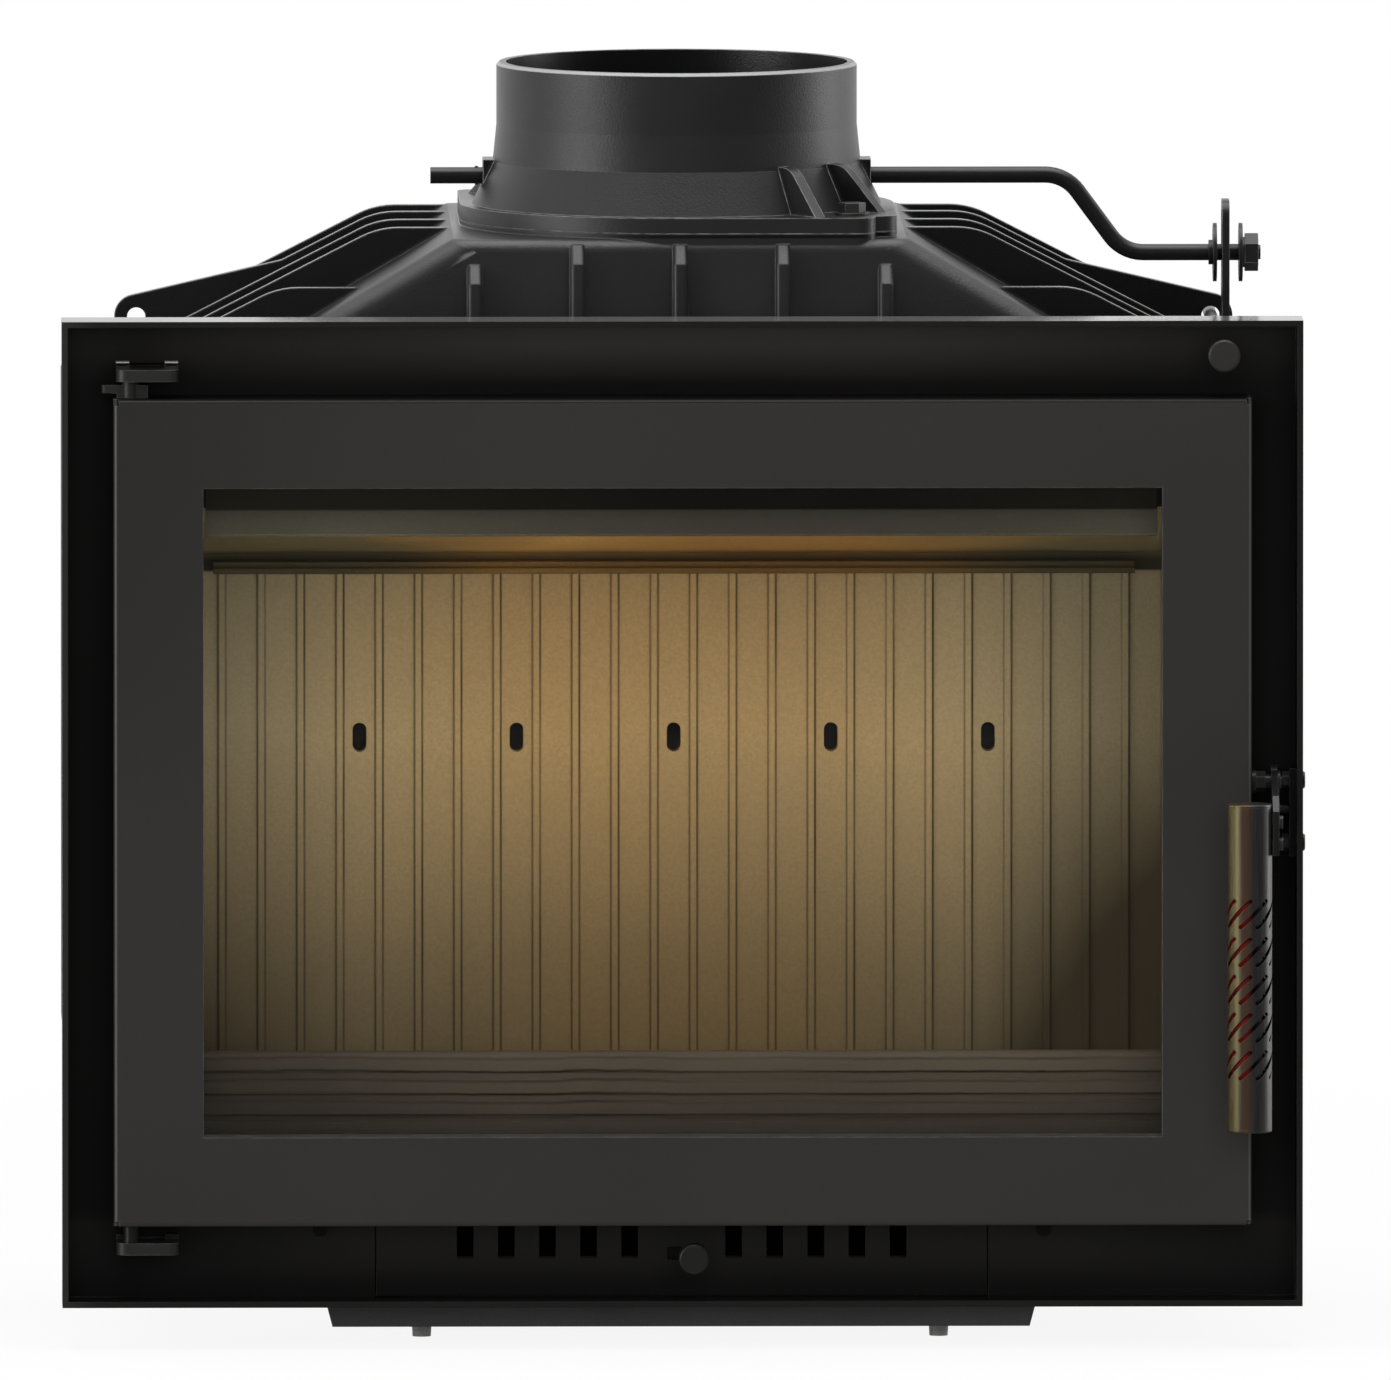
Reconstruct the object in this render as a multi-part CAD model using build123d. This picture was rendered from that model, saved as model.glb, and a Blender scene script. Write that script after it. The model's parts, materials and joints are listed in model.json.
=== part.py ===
from build123d import *
from math import asin, atan2, cos, radians, sin
import os

# Cast iron fireplace insert, in millimetres, with +Z up and the door towards -Y.
# Heights are measured from the floor. Depths are measured back from the rim's front edge,
# and save() moves every piece so that the origin lies under the middle of the outline.

# Steel front frame
frame_width = 675.0
frame_height = 538.0
frame_lift = 23.0
rim_depth = 35.0
rim_wall = 3.3
plate_thickness = 3.0
plate_lip = 3.0

# Door
door_side_gap = 28.0
door_top_gap = 42.1
door_foot_gap = 44.9
door_proud = 8.0
door_depth = 35.0
door_sheet = 2.5
door_edge_radius = 2.5
window_stile = 48.8
window_head = 48.3
window_foot = 48.7
glass_front = 14.0
glass_thickness = 4.0
glass_overlap = 14.0
tape_width = 11.0
tape_thickness = 1.5
tape_clearance = 0.5
post_radius = 4.0
post_margin = 5.0
post_pitch_up = 134.5
post_pitch_along = 151.2
backing_screw_radius = 2.0
backing_thickness = 2.5
backing_lip = 2.0
seal_inset = 11.5
seal_width = 12.0
corner_notch = 3.0

# Hinges
hinge_inset = 9.5
hinge_depth = 12.0
hinge_pin_radius = 3.25
upper_pin_length = 6.0
lower_pin_length = 12.0
bracket_thickness = 6.5
bracket_width = 34.0
bracket_side = 8.0
bracket_gap = 9.6
sleeve_length = 9.4
strip_gap = 2.7
strip_thickness = 4.4
strip_side = 16.0
strip_inside = 9.4
strip_depth = 7.0
upstand_width = 7.4
upstand_height = 2.6
bush_radius = 4.25
strip_bush_radius = 4.75

# Latch and handle
handle_inset = 2.0
handle_stand = 37.8
handle_radius = 12.2
handle_wall = 1.5
handle_length = 178.9
handle_drop = 8.4
cap_thickness = 1.6
cap_plug = 4.0
core_radius = 7.0
slot_rows = 5
slots_around = 8
slot_turn = 10.0
slot_pitch = 20.6
slot_first_lift = 37.0
slot_length = 22.0
slot_width = 2.2
lever_thickness = 3.5
lever_gap = 10.5
latch_lift = 241.1
pivot_depth = 8.0
pivot_radius = 4.0
pivot_collar = 2.5
pivot_end = 2.2
clip_thickness = 1.2
handle_screw_radius = 2.0
handle_screw_drops = (22.0, 10.0)
grip_length = 28.0
grip_slope = 14.0
grip_lean = 6.0
lever_crown = 4.0
lever_crown_depth = 8.0
hook_height = 8.0
hook_chamfer = 4.0
keeper_drop = 16.0
keeper_depth = 20.0
keeper_pin_radius = 2.5
keeper_thickness = 4.0
keeper_width = 18.0
keeper_margin = 7.0
keeper_bolt_pitch = 34.0
keeper_bolt_depth = 18.0
keeper_bolt_radius = 2.5
keeper_head = 1.6
keeper_nut_height = 3.5

# Cast body
iron_wall = 6.0
front_extra = 2.0
body_side_gap = 37.5
body_depth = 317.0
deck_lift = 57.0
deck_thickness = 8.0
shoulder_drop = 64.0
mouth_side_gap = 1.3
mouth_foot_gap = 6.6
mouth_head_gap = 5.4

# Hood
hood_rise = 103.0
hood_front_foot = 27.0
hood_front_lean = 14.0
hood_edge_radius = 8.0
hood_slope_radius = 14.0
roof_margin = 5.5

# Convection fins and ribs
fin_setback = 2.0
fin_thickness = 7.0
fin_first_depth = 83.0
fin_pitch = 60.0
fin_count = 4
fin_top_gap = 0.6
fin_flat = 39.0
fin_bend_radius = 45.0
fin_tip_rise = 14.0
fin_foot_lift = 46.0
short_fin_drop = 29.0
front_rib_width = 8.0
front_rib_pitch = 56.0
front_rib_reach = 9.0
front_rib_slope = 1.2
front_rib_round = 2.5
outer_rib_drop = 12.6
middle_rib_drop = 2.0
back_rib_depth = 30.0
back_rib_width = 8.0
back_rib_pitch = 75.0
back_rib_count = 3
ear_arm = 79.8
ear_radius = 12.0
ear_hole_radius = 5.0
ear_tip_drop = 2.0
ear_root_drop = 12.0

# Ash compartment and feet
tray_width = 388.0
tray_floor = 8.0
tray_taper = 4.0
tray_inset = 15.0
tray_depth = 285.0
tray_wall = 6.0
rail_width = 8.0
rail_spacing = 290.0
foot_radius = 5.5
foot_taper = 0.5
foot_spacing = 282.0
foot_inset = 33.0
foot_stem_radius = 3.0

# Fasteners of the cast body
screw_radius = 3.0
screw_clearance = 0.1
washer_clearance = 0.2
screw_boss_side = 3.0
screw_boss_radius = 8.0
screw_boss_height = 63.0
screw_boss_hole = 8.0
wall_screw_inset = 13.0
wall_screw_lifts = (50.0, 220.0, 380.0)
boss_radius = 7.0
boss_length = 17.0
spacer_radius = 9.0
spacer_bolt_radius = 4.0
spacer_bolt_length = 30.0
hood_screw_radius = 2.5
hood_screw_length = 20.0
hood_screw_places = (-250.0, -110.0, 110.0, 250.0)
hood_screw_inset = 5.0

# Fire bed
grate_width = 260.0
grate_depth = 150.0
grate_thickness = 10.0
grate_slot = 9.0
grate_bar = 11.0
grate_gap = 1.5
grate_ledge = 10.0
hearth_thickness = 12.0
liner_thickness = 8.0
liner_inset = 19.0
liner_notch = 4.0
fireback_inset = 64.0
fireback_thickness = 12.0
fireback_height = 338.0
fire_rib_pitch = 21.54
fire_rib_width = 4.2
fire_rib_depth = 3.0
fire_rib_count = 25
air_hole_lift = 219.0
air_hole_every = 4
air_hole_count = 5
air_hole_width = 7.6
air_hole_length = 16.0
spacer_foot_lift = 40.0
spacer_head_drop = 25.0
baffle_thickness = 8.0
baffle_inset = 65.0
baffle_rise = 39.0
rail_lift = 313.0
rail_thickness = 7.6
rail_depth = 12.0
rail_end_gap = 47.5
retainer_rise = 67.0
retainer_inset = 4.0
retainer_thickness = 9.0
retainer_end_gap = 30.0
retainer_groove_drops = (13.3, 25.3, 36.5)
retainer_groove = 2.0
deflector_drop = 21.0
deflector_height = 13.5
deflector_sheet = 2.0
deflector_flange = 14.0
deflector_edge = 1.4
deflector_bend = 0.6
deflector_side_gap = 3.0

# Flue collar
flue_inset = 160.0
spigot_radius = 98.5
spigot_wall = 5.0
spigot_height = 89.0
spigot_land = 34.0
spigot_taper = 2.0
spigot_chamfer = 1.5
skirt_rise = 35.0
skirt_spread = 13.5
flange_spread = 20.0
flange_thickness = 8.5
seat_thickness = 3.0
lug_spread = 8.0
lug_corner_radius = 10.0
lug_step = 16.0
collar_bolt_inset = 12.5
collar_bolt_radius = 4.0
collar_washer_thickness = 1.6
gusset_thickness = 6.5
gusset_rise = 37.0
gusset_crest = 12.0
gusset_bend_radius = 15.0
gusset_margin = 9.0
gusset_spread = 10.5
pad_spread = 7.5
pad_width = 24.0
pad_below = 9.6
pad_above = 9.4

# Flue damper
rod_radius = 4.5
rod_rise = 26.6
rod_left_length = 28.6
rod_end_step = 0.5
crank_drop = 42.6
crank_start_gap = 82.0
crank_end_gap = 50.5
crank_bend_radius = 22.0
disc_gap = 3.5
disc_thickness = 4.0
disc_hub_radius = 8.0
disc_screw_radius = 2.5
damper_open_angle = 55.0
washer_radius = 16.0
washer_thickness = 2.0
washer_hub_length = 2.4
inner_washer_gap = 0.3
outer_washer_gap = 13.8
rod_end_gap = 24.7
spring_washer = 1.2
spring_washer_radius = 8.28
nut_across = 18.0
nut_thickness = 7.4
split_pin_radius = 1.0
split_pin_length = 16.0
split_pin_gap = 3.4
pull_rod_radius = 3.5
pull_rod_inset = 5.5
pull_rod_drop = 19.0
pull_rod_tail_length = 5.0
pull_knob_radius = 8.8
pull_knob_front = -5.0
knob_length = 12.0
knob_bore = 3.0
knob_edge_radius = 1.6
link_thickness = 4.0
link_width = 30.0
link_foot = 8.0
link_head = 29.0

# Ash drawer and air shutter
drawer_width = 334.0
drawer_gap = 0.6
drawer_foot_gap = 4.0
drawer_head_gap = 1.9
notch_width = 9.0
notch_pitch = 22.4
notch_first = 28.3
notch_count = 5
notch_lift = 20.2
pan_width = 300.0
pan_depth = 255.0
pan_height = 36.0
pan_sheet = 1.5
shutter_thickness = 2.0
shutter_half = 152.0
shutter_travel = 10.6
shutter_rail = 2.6
shutter_rail_drop = 5.5
shutter_rail_floor = 2.0
shutter_rail_height = 6.0
shutter_foot_drop = 3.2
shutter_end_gap = 2.0
shutter_knob_reach = 6.2
shutter_knob_lift = 22.6
shutter_knob_radius = 8.25
shutter_knob_front = -6.0
shutter_stem_radius = 3.0

# Clearances
tight_gap = 0.02
running_gap = 0.05
free_gap = 0.3
slot_gap = 0.4
hook_gap = 0.4
rod_hole_gap = 0.6

# Places worked out from the driving sizes
frame_top = frame_lift + frame_height
frame_side = frame_width / 2
plate_front = rim_depth - plate_thickness
door_width = frame_width - 2 * door_side_gap
door_lift = frame_lift + door_foot_gap
door_top = frame_top - door_top_gap
door_front = -door_proud
door_back = door_front + door_depth
window_width = door_width - 2 * window_stile
window_lift = door_lift + window_foot
window_top = door_top - window_head
glass_back = glass_front + glass_thickness
tape_front = glass_front - tape_thickness
backing_back = glass_back + backing_thickness
hinge_reach = door_width / 2 - hinge_inset
bracket_outer = hinge_reach + bracket_side
upper_bracket_height = door_top + bracket_gap
lower_bracket_height = door_lift - sleeve_length - bracket_thickness
strip_height = door_top + strip_gap
strip_outer = hinge_reach + strip_side
strip_inner = hinge_reach - strip_inside
handle_reach = door_width / 2 - handle_inset
handle_depth = -handle_stand
handle_front = handle_depth - handle_radius
pivot_height = door_lift + latch_lift
handle_top = pivot_height - handle_drop
handle_bottom = handle_top - handle_length
slot_first = handle_bottom + slot_first_lift
lever_reach = door_width / 2 + lever_gap
lever_back = lever_reach + lever_thickness
keeper_height = pivot_height - keeper_drop
keeper_bolt_high = pivot_height
keeper_bolt_low = keeper_bolt_high - keeper_bolt_pitch
body_width = frame_width - 2 * body_side_gap
body_side = body_width / 2
body_front = rim_depth
body_back = body_front + body_depth
shell_side = body_side - iron_wall
inner_front = body_front + iron_wall + front_extra
inner_back = body_back - iron_wall
deck_top = frame_lift + deck_lift
shoulder_height = frame_top - shoulder_drop
mouth_width = window_width + 2 * mouth_side_gap
mouth_sill = window_lift - mouth_foot_gap
mouth_top = window_top + mouth_head_gap
hood_height = shoulder_height + hood_rise
hood_foot = body_front + hood_front_foot
flange_radius = spigot_radius + flange_spread
roof_width = 2 * (flange_radius + roof_margin)
fin_reach = frame_side - fin_setback
fin_first = body_front + fin_first_depth
fin_top = hood_height - fin_top_gap
fin_corner = roof_width / 2 + fin_flat
fin_tip_height = shoulder_height + fin_tip_rise
fin_fall = (fin_top - fin_tip_height) / (fin_reach - fin_corner)
fin_foot_height = deck_top + fin_foot_lift
short_fin_height = hood_height - short_fin_drop
pull_rod_reach = body_side - pull_rod_inset
pull_rod_height = frame_top - pull_rod_drop
pull_rod_tail = body_back + pull_rod_tail_length
ear_root = pull_rod_reach - ear_arm
tray_front = body_front + tray_inset
screw_boss_reach = tray_width / 2 + screw_boss_side
wall_screw_reach = body_side - wall_screw_inset
wall_screw_heights = [deck_top + lift for lift in wall_screw_lifts]
hood_screw_depth = body_front + hood_screw_inset
hearth_top = deck_top + hearth_thickness
liner_front = inner_front + liner_inset
liner_outer = shell_side - 0.5
liner_inner = liner_outer - liner_thickness
fireback_front = body_back - fireback_inset
fireback_back = fireback_front + fireback_thickness
grate_front = (liner_front + fireback_front - grate_depth) / 2
rail_height = hearth_top + rail_lift
baffle_front = body_front + baffle_inset
baffle_front_height = rail_height + baffle_rise
retainer_height = hearth_top + retainer_rise
retainer_front = inner_front + retainer_inset
deflector_top = mouth_top - deflector_drop
deflector_bottom = deflector_top - deflector_height
flue_depth = body_front + flue_inset
spigot_top = hood_height + spigot_height
skirt_top = hood_height + skirt_rise
lug_side = spigot_radius + lug_spread
collar_bolt_reach = lug_side - collar_bolt_inset
pad_reach = spigot_radius + pad_spread
rod_height = hood_height + rod_rise
rod_left_reach = pad_reach + rod_left_length
crank_height = rod_height - crank_drop
crank_start = pull_rod_reach - crank_start_gap
crank_end = pull_rod_reach - crank_end_gap
disc_radius = spigot_radius - spigot_wall - disc_gap
open_angle = radians(damper_open_angle)
pull_per_radian = crank_drop * (1 + 3 * sin(open_angle) / open_angle) / 4
pull_travel = pull_per_radian * open_angle
inner_washer_reach = pull_rod_reach - inner_washer_gap
outer_washer_reach = pull_rod_reach + outer_washer_gap
rod_right_reach = pull_rod_reach + rod_end_gap
split_pin_reach = pad_reach + split_pin_gap
split_pin_top = rod_height + split_pin_length / 2
split_pin_bottom = rod_height - split_pin_length / 2
link_bottom = pull_rod_height - link_foot
link_top = crank_height + link_head
drawer_bottom = frame_lift + drawer_foot_gap
drawer_top = door_lift - drawer_head_gap
notch_bottom = drawer_bottom + notch_lift
shutter_knob_height = drawer_bottom + shutter_knob_lift
screw_hole = screw_radius + screw_clearance
hood_screw_hole = hood_screw_radius + screw_clearance
keeper_bolt_hole = keeper_bolt_radius + screw_clearance
spacer_bolt_hole = spacer_bolt_radius + screw_clearance
disc_screw_hole = disc_screw_radius + screw_clearance
handle_screw_hole = handle_screw_radius + screw_clearance
backing_screw_hole = backing_screw_radius + screw_clearance
foot_stem_hole = foot_stem_radius + screw_clearance
split_pin_hole = split_pin_radius + screw_clearance
centre_shift = -(handle_front + body_back + back_rib_depth) / 2


def block(x0, x1, y0, y1, z0, z1):
    """A box between two corners."""
    return Pos((x0 + x1) / 2, (y0 + y1) / 2, (z0 + z1) / 2) * Box(x1 - x0, y1 - y0, z1 - z0)


def bar_x(radius, x0, x1, y, z):
    """A round bar along X."""
    return Pos((x0 + x1) / 2, y, z) * Rot(0, 90, 0) * Cylinder(radius, x1 - x0)


def bar_y(radius, x, y0, y1, z):
    """A round bar along Y."""
    return Pos(x, (y0 + y1) / 2, z) * Rot(90, 0, 0) * Cylinder(radius, y1 - y0)


def bar_z(radius, x, y, z0, z1):
    """A round bar along Z."""
    return Pos(x, y, (z0 + z1) / 2) * Cylinder(radius, z1 - z0)


def hex_x(across, x0, x1, y, z):
    """A hexagonal bar along X."""
    sketch = RegularPolygon(across / 2, 6, major_radius=False)
    return Pos(x0, y, z) * Rot(0, 90, 0) * extrude(sketch, x1 - x0)


def hex_y(across, x, y0, y1, z):
    """A hexagonal bar along Y."""
    sketch = RegularPolygon(across / 2, 6, major_radius=False)
    return Pos(x, y1, z) * Rot(90, 0, 0) * extrude(sketch, y1 - y0)


def hex_z(across, x, y, z0, z1):
    """A hexagonal bar along Z."""
    sketch = RegularPolygon(across / 2, 6, major_radius=False)
    return Pos(x, y, z0) * extrude(sketch, z1 - z0)


def face_xz(points):
    """A flat outline in the X and Z directions."""
    return make_face(Plane.XZ * Polyline(*points, close=True))


def slab_y(face, y0, y1):
    """An outline in X and Z given a thickness along Y."""
    return Pos(0, y0, 0) * extrude(face, y1 - y0, dir=(0, 1, 0))


def slab_x(points, x0, x1):
    """An outline of (y, z) points given a thickness along X."""
    face = make_face(Plane.YZ * Polyline(*points, close=True))
    return Pos(x0, 0, 0) * extrude(face, x1 - x0, dir=(1, 0, 0))


def mirrored(shape):
    """The same piece on the other side of the insert."""
    return mirror(shape, about=Plane.YZ)


def save(name, shape):
    """Writes one sub-part, moved to the part's own origin."""
    solids = shape if isinstance(shape, list) else shape.solids()
    placed = [Pos(0, centre_shift, 0) * solid for solid in solids]
    whole = placed[0] if len(placed) == 1 else Compound(children=placed)
    whole.label = name
    export_step(whole, f"parts/{name}.step")


os.makedirs("parts", exist_ok=True)


# Ash compartment and deck

def base_casting():
    half = tray_width / 2
    low_half = half - tray_taper
    back = tray_front + tray_depth
    outer = [(-half, deck_top - 1), (-half, frame_lift), (-low_half, tray_floor)]
    outer += [(low_half, tray_floor), (half, frame_lift), (half, deck_top - 1)]
    inner_half = low_half - tray_wall
    floor_top = tray_floor + tray_wall
    tray = slab_y(face_xz(outer), tray_front, back)
    tray -= block(-inner_half, inner_half, tray_front + tray_wall, back - tray_wall, floor_top, deck_top)
    tray -= block(-inner_half, inner_half, tray_front - 1, tray_front + tray_wall + 1,
                  drawer_bottom - free_gap, deck_top)
    for side in (-1, 1):
        cheek_x = sorted((side * inner_half, side * half))
        tray += block(*cheek_x, body_front, tray_front + 1, frame_lift + rim_wall + 1, deck_top - 1)
        tray += bar_y(screw_boss_radius, side * screw_boss_reach, body_front, tray_front + 2 * tray_wall,
                      screw_boss_height)
        tray -= bar_y(screw_hole, side * screw_boss_reach, body_front, tray_front + screw_boss_hole,
                      screw_boss_height)
        rail_x = side * rail_spacing / 2
        tray += block(rail_x - rail_width / 2, rail_x + rail_width / 2, tray_front + tray_wall - 1,
                      back - tray_wall + 1, floor_top - 1, drawer_bottom)
    deck = block(-body_side, body_side, body_front, body_back, deck_top - deck_thickness, deck_top)
    opening_half = grate_width / 2 - grate_ledge
    grate_back = grate_front + grate_depth
    deck -= block(-opening_half, opening_half, grate_front + grate_ledge, grate_back - grate_ledge,
                  0, deck_top + 1)
    tray += deck
    for x, y in foot_places():
        tray -= bar_z(foot_stem_hole, x, y, 0, floor_top - 1)
    return tray


def foot_places():
    """The four feet, front pair and rear pair."""
    front_y = tray_front + foot_inset
    back_y = tray_front + tray_depth - foot_inset
    return [(x, y) for x in (-foot_spacing / 2, foot_spacing / 2) for y in (front_y, back_y)]


def support_feet():
    feet = []
    for x, y in foot_places():
        foot = Pos(x, y, tray_floor / 2) * Cone(foot_radius - foot_taper, foot_radius, tray_floor)
        feet.append(foot + bar_z(foot_stem_radius, x, y, tray_floor - 1, tray_floor + tray_wall - 1.5))
    return feet


# Cast walls

def fin_places():
    """Depths of the fins' middle planes, front to back, without the back wing."""
    return [fin_first + fin_pitch * i for i in range(fin_count)]


def wall_fin(y, thickness):
    """A fin on the right side wall, from its rounded foot to the shoulder."""
    outline = face_xz([(shell_side + 2, fin_foot_height), (fin_reach, fin_foot_height),
                       (fin_reach, shoulder_height), (shell_side + 2, shoulder_height)])
    corner = outline.vertices().sort_by_distance((fin_reach, 0, fin_foot_height))[0]
    outline = fillet(corner, (fin_reach - body_side) * 0.8)
    return slab_y(outline, y - thickness / 2, y + thickness / 2)


def side_wall():
    wall = block(shell_side, body_side, inner_front, inner_back, deck_top, shoulder_height)
    for y in fin_places():
        wall += wall_fin(y, fin_thickness)
    for z in wall_screw_heights:
        for y0, y1 in ((inner_front, inner_front + boss_length), (inner_back - boss_length, inner_back)):
            wall += bar_y(boss_radius, wall_screw_reach, y0, y1, z) + block(
                wall_screw_reach, shell_side + 1, y0, y1, z - boss_radius, z + boss_radius)
            wall -= bar_y(screw_hole, wall_screw_reach, y0, y1, z)
    return wall


def back_wall():
    wall = block(-body_side, body_side, inner_back, body_back, deck_top, shoulder_height)
    wing = wall_fin(body_back - iron_wall / 2, iron_wall)
    wall += wing + mirrored(wing)
    rib_back = body_back + back_rib_depth
    rib_outline = [(body_back - 1, fin_foot_height), (rib_back, fin_foot_height + back_rib_depth),
                   (rib_back, shoulder_height - back_rib_depth / 2),
                   (body_back + back_rib_depth / 2, shoulder_height), (body_back - 1, shoulder_height)]
    for i in range(-back_rib_count, back_rib_count + 1):
        middle = i * back_rib_pitch
        wall += slab_x(rib_outline, middle - back_rib_width / 2, middle + back_rib_width / 2)
    for z in wall_screw_heights:
        for side in (-1, 1):
            wall -= bar_y(screw_hole, side * wall_screw_reach, inner_back - 1, body_back + 1, z)
    for x, z in spacer_places():
        wall -= bar_y(spacer_bolt_hole, x, inner_back - 1, body_back + 1, z)
    return wall


def front_casting():
    plate = block(-body_side, body_side, body_front, inner_front, deck_top, shoulder_height)
    plate -= block(-mouth_width / 2, mouth_width / 2, body_front - 1, inner_front + 1,
                   mouth_sill, mouth_top)
    for z in wall_screw_heights:
        for side in (-1, 1):
            plate -= bar_y(screw_hole, side * wall_screw_reach, body_front - 1, inner_front + 1, z)
    for x in hood_screw_places:
        plate -= bar_z(hood_screw_hole, x, hood_screw_depth, shoulder_height - hood_screw_length,
                       shoulder_height + 1)
    return plate


# Hood

def frustum():
    """The hood's outer form, wide at the shoulder and narrow at the roof."""
    foot_y = (hood_foot + body_back) / 2
    roof_front = hood_foot + hood_front_lean
    roof_y = (roof_front + body_back) / 2
    foot = Pos(0, foot_y, shoulder_height) * Rectangle(body_width, body_back - hood_foot)
    roof = Pos(0, roof_y, hood_height) * Rectangle(roof_width, body_back - roof_front)
    return loft([foot, roof], ruled=True)


def hood_face(z):
    """Depth of the hood's front face at a height."""
    return hood_foot + hood_front_lean * (z - shoulder_height) / hood_rise


def hood_fin(y, thickness, top):
    """A fin on the right slope of the hood, cut flat at its top."""
    corner = fin_corner + (fin_top - top) / fin_fall
    slope = (hood_height - shoulder_height) / (body_side - roof_width / 2)
    sunk = 3.0
    root_top = roof_width / 2 + (hood_height - top) / slope - sunk
    outline = face_xz([(root_top, top), (corner, top), (fin_reach, fin_tip_height),
                       (fin_reach, shoulder_height), (body_side - sunk, shoulder_height),
                       (root_top, top - sunk)])
    bend = outline.vertices().sort_by_distance((corner, 0, top))[0]
    return slab_y(fillet(bend, fin_bend_radius), y - thickness / 2, y + thickness / 2)


def ear(y, thickness):
    """The arm on the last fin that holds the pull rod, with its hole."""
    root_height = fin_top - fin_fall * (ear_root - fin_corner)
    run = pull_rod_reach - ear_root
    drop = root_height - pull_rod_height
    reach = (run ** 2 + drop ** 2) ** 0.5
    lift = asin(ear_radius / reach) - atan2(drop, run)
    tangent = (pull_rod_reach - ear_radius * sin(lift), pull_rod_height + ear_radius * cos(lift))
    end = pull_rod_reach + ear_radius
    end_slope = fin_top - fin_fall * (end - fin_corner)
    arm = face_xz([(ear_root, root_height), tangent, (end, pull_rod_height),
                   (end, end_slope - ear_tip_drop), (ear_root, root_height - ear_root_drop)])
    whole = slab_y(arm, y - thickness / 2, y + thickness / 2)
    whole += bar_y(ear_radius, pull_rod_reach, y - thickness / 2, y + thickness / 2, pull_rod_height)
    return whole


def front_rib(x, top):
    """An upright rib on the hood's front face, with a sloping top."""
    ramp = front_rib_reach * front_rib_slope
    shelf_top = shoulder_height + iron_wall
    points = [(hood_face(top) + 5, top), (hood_face(top) - 1, top - 1),
              (hood_face(top - ramp) - front_rib_reach, top - ramp),
              (hood_face(shelf_top) - front_rib_reach, shelf_top - 1),
              (hood_face(shelf_top) + 5, shelf_top - 1)]
    rib = slab_x(points, x - front_rib_width / 2, x + front_rib_width / 2)
    long_edges = [edge for edge in rib.edges() if edge.length > ramp and abs(edge.center().X - x) > 1]
    proud = [edge for edge in long_edges if edge.center().Y < hood_face(edge.center().Z) - 3]
    return fillet(proud, front_rib_round)


def lug_outline(x, y):
    """A quarter of the flange squared off to a rounded corner."""
    lug = Pos(x / 2, -y / 2) * Rectangle(x, y)
    corner = lug.vertices().sort_by_distance((x, -y))[0]
    return fillet(corner, lug_corner_radius)


def collar_outline():
    """The collar flange seen from above: round, with two stepped corners for the bolts."""
    lug = lug_outline(lug_side, flange_radius) + lug_outline(flange_radius, flange_radius - lug_step)
    return Pos(0, flue_depth) * (Circle(flange_radius) + lug + Rot(0, 0, 180) * lug)


def hood_casting():
    solid = frustum()
    bottom = solid.faces().sort_by(Axis.Z)[0]
    hood = offset(solid, amount=-iron_wall, openings=bottom, kind=Kind.INTERSECTION)
    hood = fillet([edge for edge in hood.edges() if is_hood_slope_edge(edge)], hood_slope_radius)
    hood = fillet([edge for edge in hood.edges() if is_hood_roof_edge(edge)], hood_edge_radius)
    hood += block(-body_side, body_side, body_front, hood_foot + 4,
                  shoulder_height, shoulder_height + iron_wall)
    depths = fin_places()
    for place, y in enumerate(depths):
        fin = hood_fin(y, fin_thickness, short_fin_height if place == 0 else fin_top)
        if place == len(depths) - 1:
            fin += ear(y, fin_thickness)
            fin -= bar_y(ear_hole_radius, pull_rod_reach, y - fin_thickness, y + fin_thickness,
                         pull_rod_height)
        hood += fin + mirrored(fin)
    wing = hood_fin(body_back - iron_wall / 2, iron_wall, fin_top)
    hood += wing + mirrored(wing)
    for i in range(-2, 3):
        drop = outer_rib_drop if abs(i) == 2 else middle_rib_drop
        hood += front_rib(i * front_rib_pitch, hood_height - drop)
    hood += Pos(0, 0, hood_height - 5) * extrude(collar_outline(), seat_thickness + 5)
    hood -= bar_z(spigot_radius - spigot_wall, 0, flue_depth, hood_height - 20, hood_height + 20)
    for x, y in collar_bolt_places():
        hood -= bar_z(collar_bolt_radius + screw_clearance, x, y, hood_height - 20, hood_height + 20)
    for x in hood_screw_places:
        hood -= bar_z(hood_screw_hole, x, hood_screw_depth,
                      shoulder_height - 1, shoulder_height + 2 * iron_wall)
    return hood


def is_hood_slope_edge(edge):
    """The two slanted edges at the sides of the front face, on the outside."""
    middle = edge.center()
    on_front = abs(middle.Y - hood_face(middle.Z)) < 0.5
    return on_front and shoulder_height + 1 < middle.Z < hood_height - 1


def is_hood_roof_edge(edge):
    """The roof's front edge and side edges, and what the slanted edges' rounding left of its corners."""
    middle = edge.center()
    at_front = middle.Y < hood_foot + hood_front_lean + hood_slope_radius
    at_side = abs(middle.X) > roof_width / 2 - 0.5
    return abs(middle.Z - hood_height) < 0.1 and (at_front or at_side)


def collar_bolt_places():
    """The two bolts, in opposite corners of the flange."""
    return [(side * collar_bolt_reach, flue_depth - side * collar_bolt_reach) for side in (1, -1)]


# Steel front frame

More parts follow.
